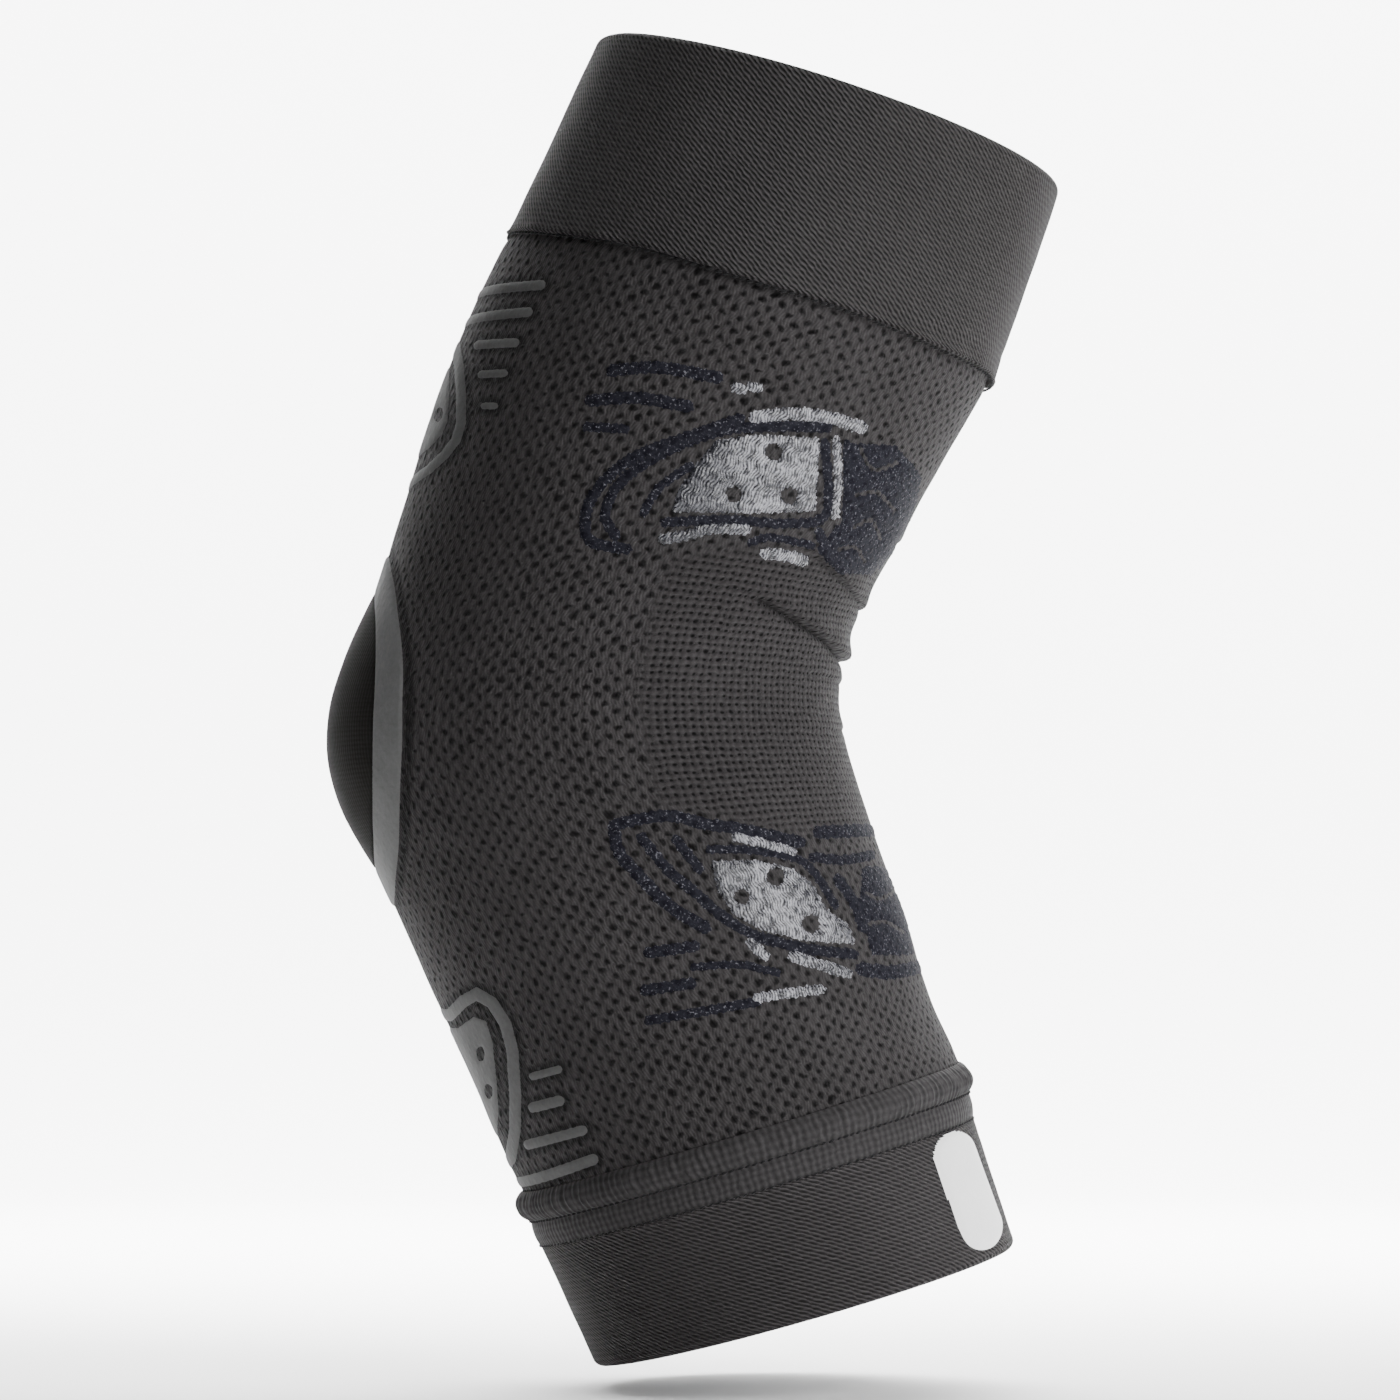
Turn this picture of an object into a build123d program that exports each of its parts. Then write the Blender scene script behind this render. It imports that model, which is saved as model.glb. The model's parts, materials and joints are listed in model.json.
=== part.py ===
from build123d import *
import os
from math import cos, radians, sin

os.makedirs("parts", exist_ok=True)

# Knitted elbow sleeve, size L, at its knitted bend. Millimetres and degrees.
# The origin is the centre of the upper arm opening. X runs toward the crook, Z up,
# and Y across the arm, so the XZ plane cuts the sleeve into two mirrored halves.
UPPER_TILT = 22.5  # upper arm axis, leaning toward the crook above the elbow
FOREARM_TILT = 20.5  # forearm axis, leaning toward the crook below the elbow
UPPER_LENGTH = 116.7  # opening to elbow pivot
FOREARM_LENGTH = 115.2

KNIT_T = 1.3  # single knit layer
CUFF_LAYER_T = 1.1  # each of the two layers of a folded cuff
ELASTIC_T = 0.8
LAYER_GAP = 0.1
UPPER_CUFF_H = 37.5
UPPER_CUFF_R = 44.5  # at the opening
UPPER_CUFF_EDGE_R = 45.3  # at its lower edge
LOWER_CUFF_H = 24.4
LOWER_CUFF_R = 39.5
BAND_TOP = 28.7  # plain band above the lower cuff
BAND_R = 40.1
RIDGE_BOTTOM = 29.3  # gathered roll above the band
RIDGE_TOP = 33.95
RIDGE_R = 41.5

ELBOW_ZONE_TOP = 36.5  # heights from the pivot where the straight tubes end
ELBOW_ZONE_BOTTOM = -37.0
BODY_GAP = 0.3  # between knit on the upper arm and knit on the forearm
SKIN_GAP = 0.05  # between the knit and what is printed on it
PRINT_T = 0.6

PAD_R = 19.5
PAD_T = 1.7
CAP_R = 23.8
CAP_T = 3.2
RING_INNER_R = 24.0
RING_OUTER_R = 31.5
RING_DROP = 4.0  # ring centre below the pivot
TIP_WIDTH = 0.87  # pad, cap and ring across the arm, as a share of their height
CROOK_BACK = 16.0  # crook panel's rear edge, from the pivot
CROOK_TOP = 20.0
CROOK_BOTTOM = -24.0
CROOK_GAP = 0.1

RIGHT_OF_UPPER = (cos(radians(UPPER_TILT)), 0, -sin(radians(UPPER_TILT)))
RIGHT_OF_FOREARM = (cos(radians(FOREARM_TILT)), 0, sin(radians(FOREARM_TILT)))
UPPER_AXIS = Vector(sin(radians(UPPER_TILT)), 0, cos(radians(UPPER_TILT)))
FOREARM_AXIS = Vector(-sin(radians(FOREARM_TILT)), 0, cos(radians(FOREARM_TILT)))
PIVOT = UPPER_AXIS * -UPPER_LENGTH
LOWER_OPENING = PIVOT - FOREARM_AXIS * FOREARM_LENGTH

# Profile planes: x away from the axis, y along it toward the upper arm.
UPPER_PROFILE = Plane(origin=(0, 0, 0), x_dir=RIGHT_OF_UPPER, z_dir=(0, -1, 0))
LOWER_PROFILE = Plane(origin=LOWER_OPENING, x_dir=RIGHT_OF_FOREARM, z_dir=(0, -1, 0))
UPPER_SPIN = Axis(origin=(0, 0, 0), direction=UPPER_AXIS)
LOWER_SPIN = Axis(origin=LOWER_OPENING, direction=FOREARM_AXIS)
ELBOW_SIDE = Plane(origin=PIVOT, x_dir=(1, 0, 0), z_dir=(0, -1, 0))
TIP_VIEW = Plane(
    origin=PIVOT - Vector(0, 0, RING_DROP), x_dir=(0, -1, 0), z_dir=(-1, 0, 0)
)

# Sections along the upper arm: distance from its opening, shift toward the crook,
# half width, half depth.
UPPER_SECTIONS = (
    (26.0, 0.0, 44.6, 44.6),
    (34.5, 0.0, 44.6, 44.6),
    (44.0, -0.8, 44.5, 44.3),
    (54.0, -1.7, 44.5, 43.9),
)
# Sections round the elbow: tilt, centre from the pivot along X and Z, half width,
# half depth.
ELBOW_SECTIONS = (
    (11.0, 16.6, 45.2, 44.9, 43.4),
    (0.0, 9.7, 26.8, 45.3, 42.8),
    (0.0, 4.7, 13.3, 42.9, 42.4),
    (0.0, 1.6, -0.2, 44.1, 42.2),
    (0.0, 3.8, -13.7, 45.7, 42.0),
    (0.0, 8.2, -27.2, 45.7, 41.8),
    (-11.6, 14.3, -41.2, 42.6, 41.4),
)
# Sections along the forearm: distance from its opening, shift, half width, depth.
FOREARM_SECTIONS = (
    (54.0, -0.6, 41.3, 41.1),
    (43.0, -0.6, 40.9, 40.8),
    (34.0, -0.3, 40.7, 40.6),
    (22.0, 0.0, 40.3, 40.3),
)


def sleeve_sections():
    """Each section's plane, half width and half depth, from top to bottom."""
    for distance, shift, half_width, half_depth in UPPER_SECTIONS:
        centre = UPPER_AXIS * -distance + Vector(*RIGHT_OF_UPPER) * shift
        plane = Plane(origin=centre, x_dir=RIGHT_OF_UPPER, z_dir=UPPER_AXIS)
        yield plane, half_width, half_depth
    for tilt, x, z, half_width, half_depth in ELBOW_SECTIONS:
        across = (cos(radians(tilt)), 0, -sin(radians(tilt)))
        along = (sin(radians(tilt)), 0, cos(radians(tilt)))
        plane = Plane(origin=PIVOT + Vector(x, 0, z), x_dir=across, z_dir=along)
        yield plane, half_width, half_depth
    for distance, shift, half_width, half_depth in FOREARM_SECTIONS:
        centre = LOWER_OPENING + FOREARM_AXIS * distance
        centre += Vector(*RIGHT_OF_FOREARM) * shift
        plane = Plane(origin=centre, x_dir=RIGHT_OF_FOREARM, z_dir=FOREARM_AXIS)
        yield plane, half_width, half_depth


def sleeve_form(growth, mode=Mode.ADD):
    """Solid form of the sleeve, with its surface moved out by growth."""
    sections = []
    for plane, half_width, half_depth in sleeve_sections():
        with BuildSketch(plane) as section:
            Ellipse(half_width + growth, half_depth + growth)
        sections.append(section.sketch)
    loft(sections=sections, mode=mode)


def knit_wall():
    """One knit layer along the whole sleeve."""
    sleeve_form(0)
    sleeve_form(-KNIT_T, mode=Mode.SUBTRACT)


def skin(gap, thickness):
    """A layer that follows the sleeve, gap outside it."""
    sleeve_form(gap + thickness)
    sleeve_form(gap, mode=Mode.SUBTRACT)


def crook_outline(inset):
    """Side outline of the crook panel, open toward the crook."""
    with BuildSketch(ELBOW_SIDE) as outline:
        with BuildLine():
            Polyline(
                (CROOK_BACK + inset, CROOK_BOTTOM / 4),
                (CROOK_BACK + 6 + inset, CROOK_TOP - inset),
                (CROOK_BACK + 70, CROOK_TOP - inset),
                (CROOK_BACK + 70, CROOK_BOTTOM + inset),
                (CROOK_BACK + 10 + inset, CROOK_BOTTOM + inset),
                close=True,
            )
        make_face()
    return outline.sketch


def stroke(width, *points):
    """One raised line of a print, through points (x, z) of the row."""
    with BuildLine() as path:
        if len(points) == 2:
            Line(*points)
        else:
            Spline(*points)
    trace(lines=path.edges(), line_width=width)


def spot(x, z, width, height, angle=0):
    """One raised, round-ended mark of a print."""
    with Locations((x, z)):
        SlotOverall(width, height, rotation=angle)


def plate(corners, radius, holes):
    """A print's plate with its round holes."""
    with BuildLine() as edge:
        FilletPolyline(*corners, radius=radius, close=True)
    make_face(edges=edge.edges())
    for x, z, hole_radius in holes:
        with Locations((x, z)):
            Circle(hole_radius, mode=Mode.SUBTRACT)


def upper_side_print():
    """Outline of the print beside the upper arm, seen from the side."""
    with BuildSketch(Plane.XZ) as outline:
        corners = ((-28.5, -73.5), (-18.5, -64), (-4, -62), (-4, -75.6), (-20, -76))
        holes = ((-10.6, -64.9, 1.4), (-17.1, -72.4, 1.3), (-7.9, -72.6, 1.3))
        plate(corners, 1.6, holes)
        stroke(2.6, (-14, -58.6), (-5, -58), (4.5, -60))
        stroke(2.2, (-18.9, -60.2), (-31.3, -65), (-41.8, -71.5), (-42.6, -78.4))
        stroke(2.4, (-28.4, -79.6), (-21, -78.3), (-14.4, -78.8))
        stroke(2.0, (-0.6, -63), (-1.2, -75.6))
        spot(-14.9, -54.2, 4.4, 2.2)
        spot(-8.4, -82.6, 7.4, 2.4, -14)
        spot(-28.4, -51.2, 15.6, 2.3, -5)
        spot(-34.6, -56.4, 17.0, 2.3, -5)
        spot(-39.2, -61.6, 8.0, 2.0)
        spot(8.6, -68, 6.4, 4.2, -65)
        spot(6.2, -76.5, 7.4, 4.0, -50)
    return outline.sketch


def forearm_side_print():
    """Outline of the print beside the forearm, seen from the side."""
    with BuildSketch(Plane.XZ) as outline:
        corners = ((-20.4, -136), (-9.8, -136.4), (-1.6, -147.6), (-9.5, -148.6))
        holes = ((-10.6, -139.6, 1.3), (-5, -146.2, 1.3))
        plate(corners, 1.4, holes)
        stroke(2.2, (-34, -132.4), (-26, -130), (-17.3, -131.4), (-7.7, -133.9))
        stroke(2.2, (-36.4, -130.6), (-37.6, -134.6), (-33.4, -139))
        stroke(2.0, (-7.2, -152.2), (-1, -154), (2.6, -155))
        stroke(2.0, (-22, -160.4), (-14, -160), (-2.6, -158.2))
        spot(-29, -151.4, 7.0, 2.0, 8)
        spot(-30, -157, 7.0, 2.0, 8)
        spot(-22.4, -152.4, 5.0, 2.0, -50)
        spot(4.4, -139, 6.0, 3.4, -60)
        spot(8.2, -147.4, 7.0, 3.8, -62)
    return outline.sketch


def upper_back_print():
    """Outline of the print on the back of the upper arm, wrapped round it."""
    with BuildSketch(Plane.XZ) as outline:
        stroke(2.1, (-80, -31.5), (-52.4, -34.6))
        stroke(2.0, (-80, -36.4), (-53.4, -39.2))
        stroke(1.9, (-80, -42), (-55.8, -44))
        spot(-60.6, -49.6, 5.6, 1.7, -12)
        spot(-61, -55.4, 3.2, 1.6, -12)
        stroke(
            2.1, (-75, -46.6), (-68.4, -43.4), (-66, -51), (-68, -60.4), (-71.8, -66)
        )
        spot(-70.4, -54.6, 9.0, 3.0, -76)
    return outline.sketch


def forearm_back_print():
    """Outline of the print on the back of the forearm, wrapped round it."""
    with BuildSketch(Plane.XZ) as outline:
        stroke(
            2.1, (-69, -160), (-63.6, -158.2), (-57.4, -166), (-56.6, -176), (-58, -185)
        )
        stroke(3.2, (-62.6, -164.6), (-60.4, -172), (-60.4, -182))
        spot(-50.2, -173.6, 5.4, 1.7, 8)
        stroke(1.9, (-54.4, -179.6), (-47.4, -178.4))
        stroke(2.0, (-55.2, -184.6), (-44.4, -182.8))
        stroke(2.1, (-56.4, -190), (-41.8, -187))
    return outline.sketch


# Upper cuff: one knit strip folded outward over an elastic band.
inner_r = UPPER_CUFF_R - 2 * CUFF_LAYER_T - ELASTIC_T - 2 * LAYER_GAP
with BuildPart() as upper_cuff:
    with BuildSketch(UPPER_PROFILE):
        with BuildLine():
            outer_top = (UPPER_CUFF_R, -1.2)
            inner_top = (inner_r, -1.2)
            Line((UPPER_CUFF_EDGE_R, -UPPER_CUFF_H), outer_top)
            Spline(
                outer_top,
                ((UPPER_CUFF_R + inner_r) / 2, 0),
                inner_top,
                tangents=((0, 1), (0, -1)),
            )
            Line(inner_top, (inner_r, -UPPER_CUFF_H + 1.5))
            Line(
                (inner_r, -UPPER_CUFF_H + 1.5),
                (inner_r + CUFF_LAYER_T, -UPPER_CUFF_H + 1.5),
            )
            Polyline(
                (inner_r + CUFF_LAYER_T, -UPPER_CUFF_H + 1.5),
                (inner_r + CUFF_LAYER_T, -2.4),
                (UPPER_CUFF_R - CUFF_LAYER_T, -2.4),
                (UPPER_CUFF_EDGE_R - CUFF_LAYER_T, -UPPER_CUFF_H),
                (UPPER_CUFF_EDGE_R, -UPPER_CUFF_H),
            )
        make_face()
    revolve(axis=UPPER_SPIN)
upper_cuff.part.label = "upper_cuff"
export_step(upper_cuff.part, "parts/upper_cuff.step")

elastic_r = inner_r + CUFF_LAYER_T + LAYER_GAP
with BuildPart() as upper_cuff_elastic:
    with BuildSketch(UPPER_PROFILE):
        with BuildLine():
            Polyline(
                (elastic_r, -3),
                (elastic_r + ELASTIC_T, -3),
                (elastic_r + ELASTIC_T, -UPPER_CUFF_H + 3),
                (elastic_r, -UPPER_CUFF_H + 3),
                close=True,
            )
        make_face()
    revolve(axis=UPPER_SPIN)
upper_cuff_elastic.part.label = "upper_cuff_elastic"
export_step(upper_cuff_elastic.part, "parts/upper_cuff_elastic.step")

# Chain stitch where the cuff's outer layer is linked to the knit.
with BuildPart() as upper_cuff_seam:
    with BuildSketch(UPPER_PROFILE):
        with BuildLine():
            Polyline(
                (44.8, -UPPER_CUFF_H - 0.05),
                (45.45, -UPPER_CUFF_H - 0.05),
                (45.3, -UPPER_CUFF_H - 0.75),
                (44.8, -UPPER_CUFF_H - 0.75),
                close=True,
            )
        make_face()
    revolve(axis=UPPER_SPIN)
upper_cuff_seam.part.label = "upper_cuff_seam"
export_step(upper_cuff_seam.part, "parts/upper_cuff_seam.step")

# Net knit of the upper arm, from the cuff down to the elbow zone.
upper_end = Plane(origin=UPPER_AXIS * -UPPER_CUFF_H, z_dir=UPPER_AXIS)
elbow_top = Plane(origin=PIVOT + Vector(0, 0, ELBOW_ZONE_TOP), z_dir=(0, 0, 1))
elbow_bottom = Plane(origin=PIVOT + Vector(0, 0, ELBOW_ZONE_BOTTOM), z_dir=(0, 0, 1))
with BuildPart() as upper_knit_tube:
    knit_wall()
    split(bisect_by=upper_end, keep=Keep.BOTTOM)
    split(bisect_by=elbow_top, keep=Keep.TOP)
upper_knit_tube.part.label = "upper_knit_tube"
export_step(upper_knit_tube.part, "parts/upper_knit_tube.step")

# Net knit of the elbow, which stretches and folds as the joint bends.
with BuildPart() as elbow_knit:
    knit_wall()
    split(bisect_by=elbow_top, keep=Keep.BOTTOM)
    split(bisect_by=elbow_bottom, keep=Keep.TOP)
    extrude(crook_outline(0), amount=70, both=True, mode=Mode.SUBTRACT)
elbow_knit.part.label = "elbow_knit"
export_step(elbow_knit.part, "parts/elbow_knit.step")

# Finer ribbed knit in the crook of the elbow.
with BuildPart() as crook_rib_panel:
    knit_wall()
    extrude(crook_outline(CROOK_GAP), amount=70, both=True, mode=Mode.INTERSECT)
crook_rib_panel.part.label = "crook_rib_panel"
export_step(crook_rib_panel.part, "parts/crook_rib_panel.step")

# Net knit of the forearm, down to the gathered roll.
forearm_top = Plane(
    origin=PIVOT + Vector(0, 0, ELBOW_ZONE_BOTTOM - BODY_GAP), z_dir=(0, 0, 1)
)
forearm_end = Plane(
    origin=LOWER_OPENING + FOREARM_AXIS * (RIDGE_TOP + 0.05), z_dir=FOREARM_AXIS
)
with BuildPart() as forearm_knit_tube:
    knit_wall()
    split(bisect_by=forearm_top, keep=Keep.BOTTOM)
    split(bisect_by=forearm_end, keep=Keep.TOP)
forearm_knit_tube.part.label = "forearm_knit_tube"
export_step(forearm_knit_tube.part, "parts/forearm_knit_tube.step")

# Gel pad over the elbow tip, held in the pocket under the cap.
with BuildPart() as elbow_gel_pad:
    skin(SKIN_GAP, PAD_T)
    with BuildSketch(TIP_VIEW):
        Ellipse(TIP_WIDTH * PAD_R, PAD_R)
    extrude(amount=70, mode=Mode.INTERSECT)
elbow_gel_pad.part.label = "elbow_gel_pad"
export_step(elbow_gel_pad.part, "parts/elbow_gel_pad.step")

with BuildPart() as pad_pocket:
    skin(SKIN_GAP / 2, PAD_T + SKIN_GAP)
    with BuildSketch(TIP_VIEW):
        Ellipse(TIP_WIDTH * PAD_R + LAYER_GAP, PAD_R + LAYER_GAP)
    extrude(amount=70, mode=Mode.INTERSECT)

# Smooth padded cap over the elbow tip.
with BuildPart() as elbow_cap:
    skin(SKIN_GAP, CAP_T)
    with BuildSketch(TIP_VIEW):
        Ellipse(TIP_WIDTH * CAP_R, CAP_R)
    extrude(amount=70, mode=Mode.INTERSECT)
    add(pad_pocket.part, mode=Mode.SUBTRACT)
elbow_cap.part.label = "elbow_cap"
export_step(elbow_cap.part, "parts/elbow_cap.step")

# Flat printed ring that frames the cap.
with BuildPart() as elbow_ring:
    skin(SKIN_GAP, PRINT_T)
    with BuildSketch(TIP_VIEW):
        Ellipse(TIP_WIDTH * RING_OUTER_R, RING_OUTER_R)
        Ellipse(TIP_WIDTH * RING_INNER_R, RING_INNER_R, mode=Mode.SUBTRACT)
    extrude(amount=70, mode=Mode.INTERSECT)
elbow_ring.part.label = "elbow_ring"
export_step(elbow_ring.part, "parts/elbow_ring.step")

# Raised silicone prints beside the upper arm and the forearm.
with BuildPart() as upper_side_print_near:
    skin(SKIN_GAP, PRINT_T)
    extrude(upper_side_print(), amount=70, mode=Mode.INTERSECT)
upper_side_print_near.part.label = "upper_side_print_near"
export_step(upper_side_print_near.part, "parts/upper_side_print_near.step")

with BuildPart() as upper_side_print_far:
    skin(SKIN_GAP, PRINT_T)
    extrude(upper_side_print(), amount=-70, mode=Mode.INTERSECT)
upper_side_print_far.part.label = "upper_side_print_far"
export_step(upper_side_print_far.part, "parts/upper_side_print_far.step")

with BuildPart() as forearm_side_print_near:
    skin(BODY_GAP, PRINT_T)
    extrude(forearm_side_print(), amount=70, mode=Mode.INTERSECT)
forearm_side_print_near.part.label = "forearm_side_print_near"
export_step(forearm_side_print_near.part, "parts/forearm_side_print_near.step")

with BuildPart() as forearm_side_print_far:
    skin(BODY_GAP, PRINT_T)
    extrude(forearm_side_print(), amount=-70, mode=Mode.INTERSECT)
forearm_side_print_far.part.label = "forearm_side_print_far"
export_step(forearm_side_print_far.part, "parts/forearm_side_print_far.step")

# Matte prints wrapped round the back of the upper arm and of the forearm.
with BuildPart() as upper_rear_print:
    skin(SKIN_GAP, PRINT_T)
    extrude(upper_back_print(), amount=70, both=True, mode=Mode.INTERSECT)
upper_rear_print.part.label = "upper_rear_print"
export_step(upper_rear_print.part, "parts/upper_rear_print.step")

with BuildPart() as forearm_rear_print:
    skin(SKIN_GAP, PRINT_T)
    extrude(forearm_back_print(), amount=70, both=True, mode=Mode.INTERSECT)
forearm_rear_print.part.label = "forearm_rear_print"
export_step(forearm_rear_print.part, "parts/forearm_rear_print.step")

# Gathered roll where the forearm knit is drawn in above the cuff.
with BuildPart() as lower_gather_roll:
    with BuildSketch(LOWER_PROFILE):
        with BuildLine():
            Line((39.5, RIDGE_BOTTOM), (40.6, RIDGE_BOTTOM))
            Spline(
                (40.6, RIDGE_BOTTOM),
                (RIDGE_R, (RIDGE_BOTTOM + RIDGE_TOP) / 2),
                (40.8, RIDGE_TOP),
            )
            Line((40.8, RIDGE_TOP), (39.5, RIDGE_TOP))
            Line((39.5, RIDGE_TOP), (39.5, RIDGE_BOTTOM))
        make_face()
    revolve(axis=LOWER_SPIN)
lower_gather_roll.part.label = "lower_gather_roll"
export_step(lower_gather_roll.part, "parts/lower_gather_roll.step")


def lower_ring(inner, outer, bottom, top):
    """A ring on the forearm axis, between two heights above the lower opening."""
    with BuildSketch(LOWER_PROFILE) as profile:
        with BuildLine():
            Polyline(
                (inner, bottom),
                (outer, bottom),
                (outer, top),
                (inner, top),
                close=True,
            )
        make_face()
    revolve(profile.sketch, axis=LOWER_SPIN)


with BuildPart() as gather_seam:
    lower_ring(39.2, 40.4, BAND_TOP + 0.05, RIDGE_BOTTOM - 0.05)
gather_seam.part.label = "gather_seam"
export_step(gather_seam.part, "parts/gather_seam.step")

with BuildPart() as lower_plain_band:
    lower_ring(BAND_R - KNIT_T, BAND_R, LOWER_CUFF_H + 0.5, BAND_TOP)
lower_plain_band.part.label = "lower_plain_band"
export_step(lower_plain_band.part, "parts/lower_plain_band.step")

with BuildPart() as lower_cuff_seam:
    lower_ring(38.9, 39.8, LOWER_CUFF_H + 0.05, LOWER_CUFF_H + 0.45)
lower_cuff_seam.part.label = "lower_cuff_seam"
export_step(lower_cuff_seam.part, "parts/lower_cuff_seam.step")

# Lower cuff: one knit strip folded outward over an elastic band.
lower_inner_r = LOWER_CUFF_R - 2 * CUFF_LAYER_T - ELASTIC_T - 2 * LAYER_GAP
with BuildPart() as lower_cuff:
    with BuildSketch(LOWER_PROFILE):
        with BuildLine():
            Line((LOWER_CUFF_R, LOWER_CUFF_H), (LOWER_CUFF_R, 2))
            Spline(
                (LOWER_CUFF_R, 2),
                ((LOWER_CUFF_R + lower_inner_r) / 2, 0),
                (lower_inner_r, 2),
                tangents=((0, -1), (0, 1)),
            )
            Polyline(
                (lower_inner_r, 2),
                (lower_inner_r, LOWER_CUFF_H - 1.5),
                (lower_inner_r + CUFF_LAYER_T, LOWER_CUFF_H - 1.5),
                (lower_inner_r + CUFF_LAYER_T, 2.4),
                (LOWER_CUFF_R - CUFF_LAYER_T, 2.4),
                (LOWER_CUFF_R - CUFF_LAYER_T, LOWER_CUFF_H),
                (LOWER_CUFF_R, LOWER_CUFF_H),
            )
        make_face()
    revolve(axis=LOWER_SPIN)
lower_cuff.part.label = "lower_cuff"
export_step(lower_cuff.part, "parts/lower_cuff.step")

lower_elastic_r = lower_inner_r + CUFF_LAYER_T + LAYER_GAP
with BuildPart() as lower_cuff_elastic:
    lower_ring(lower_elastic_r, lower_elastic_r + ELASTIC_T, 3, LOWER_CUFF_H - 3)
lower_cuff_elastic.part.label = "lower_cuff_elastic"
export_step(lower_cuff_elastic.part, "parts/lower_cuff_elastic.step")

# Plain oval patch on the side of the lower cuff.
with BuildPart() as cuff_patch:
    lower_ring(LOWER_CUFF_R + SKIN_GAP, LOWER_CUFF_R + 0.5, 1, LOWER_CUFF_H)
    with BuildSketch(LOWER_PROFILE):
        with Locations((29.5, LOWER_CUFF_H / 2)):
            SlotOverall(19, 8.5, rotation=72)
    extrude(amount=70, mode=Mode.INTERSECT)
cuff_patch.part.label = "cuff_patch"
export_step(cuff_patch.part, "parts/cuff_patch.step")
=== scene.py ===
import bpy
import json
import math
import numpy as np
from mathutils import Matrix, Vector, noise


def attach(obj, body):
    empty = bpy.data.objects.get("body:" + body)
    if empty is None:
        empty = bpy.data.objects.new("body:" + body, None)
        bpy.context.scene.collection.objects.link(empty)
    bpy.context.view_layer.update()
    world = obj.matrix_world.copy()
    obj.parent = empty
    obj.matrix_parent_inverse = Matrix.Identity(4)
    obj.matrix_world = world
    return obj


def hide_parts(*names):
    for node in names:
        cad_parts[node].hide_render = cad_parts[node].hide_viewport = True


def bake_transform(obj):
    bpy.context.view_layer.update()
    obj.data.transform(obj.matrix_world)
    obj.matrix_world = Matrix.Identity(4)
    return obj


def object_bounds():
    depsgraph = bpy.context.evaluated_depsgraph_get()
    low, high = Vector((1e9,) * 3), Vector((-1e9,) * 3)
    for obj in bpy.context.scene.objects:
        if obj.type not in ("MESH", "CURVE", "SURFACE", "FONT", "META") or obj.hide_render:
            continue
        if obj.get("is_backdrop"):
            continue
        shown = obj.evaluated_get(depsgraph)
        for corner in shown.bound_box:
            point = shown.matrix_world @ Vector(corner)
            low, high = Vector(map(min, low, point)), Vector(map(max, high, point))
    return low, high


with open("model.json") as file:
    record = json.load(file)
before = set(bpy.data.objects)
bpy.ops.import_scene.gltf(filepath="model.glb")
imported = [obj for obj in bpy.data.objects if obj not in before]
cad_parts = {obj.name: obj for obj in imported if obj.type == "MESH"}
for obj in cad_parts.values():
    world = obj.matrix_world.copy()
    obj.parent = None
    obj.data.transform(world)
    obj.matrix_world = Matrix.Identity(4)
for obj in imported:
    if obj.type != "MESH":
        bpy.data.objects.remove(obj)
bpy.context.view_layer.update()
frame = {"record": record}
record = frame["record"]

# ---------------------------------------------------------------- the frame
# Lengths are in metres. Outline points are given in millimetres from the elbow pivot.
MM = 0.001
joint = record["behaviour"]["joints"][0]
PIVOT = np.array(joint["pos_m"], float)
COARSE = 1

# Side outlines of the knit: the tip side and the crook side, from the upper cuff down.
TIP_LINE = (
    (-13.0, 86.4), (-21.2, 70.0), (-27.3, 53.8), (-32.1, 37.6), (-35.4, 26.8),
    (-37.2, 21.0), (-40.6, 10.6), (-43.6, -0.2), (-44.3, -6.4), (-42.6, -16.6),
    (-38.0, -27.2), (-32.9, -38.0), (-23.0, -59.6), (-18.3, -70.4), (-11.2, -87.0),
)
CROOK_LINE = (
    (73.3, 59.3), (64.1, 43.0), (58.2, 32.2), (51.9, 21.4), (48.9, 16.0),
    (46.9, 10.6), (45.9, 5.2), (45.9, -0.2), (47.0, -5.6), (50.5, -16.4),
    (53.9, -27.2), (58.2, -38.0), (63.2, -54.2), (67.9, -63.6),
)
# Half depth of the knit across the arm, evenly spaced from the upper cuff down.
DEPTHS = (44.4, 44.2, 43.6, 42.9, 42.3, 42.0, 41.9, 41.6, 41.2, 40.9, 40.8)
UPPER_RIM = ((3.1, 121.6), (86.4, 94.4))
UPPER_CUFF_END = ((-13.4, 86.5), (74.4, 59.2))
ROLL_TOP = ((-11.2, -87.0), (67.9, -63.6))
ROLL_END = ((-9.3, -92.2), (69.4, -69.0))
BAND_END = ((-7.6, -96.6), (70.2, -73.6))
LOWER_RIM = ((2.7, -118.4), (77.8, -96.6))

CELLS = 80  # net knit cells round the sleeve
ROWS = 56  # net knit cells along it
RING_DROP = 4.0  # ring centre below the pivot, mm
RING_INNER, RING_OUTER = 24.4, 31.6  # mm
RING_WIDTH = 0.87  # across the arm, as a share of its height


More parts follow.
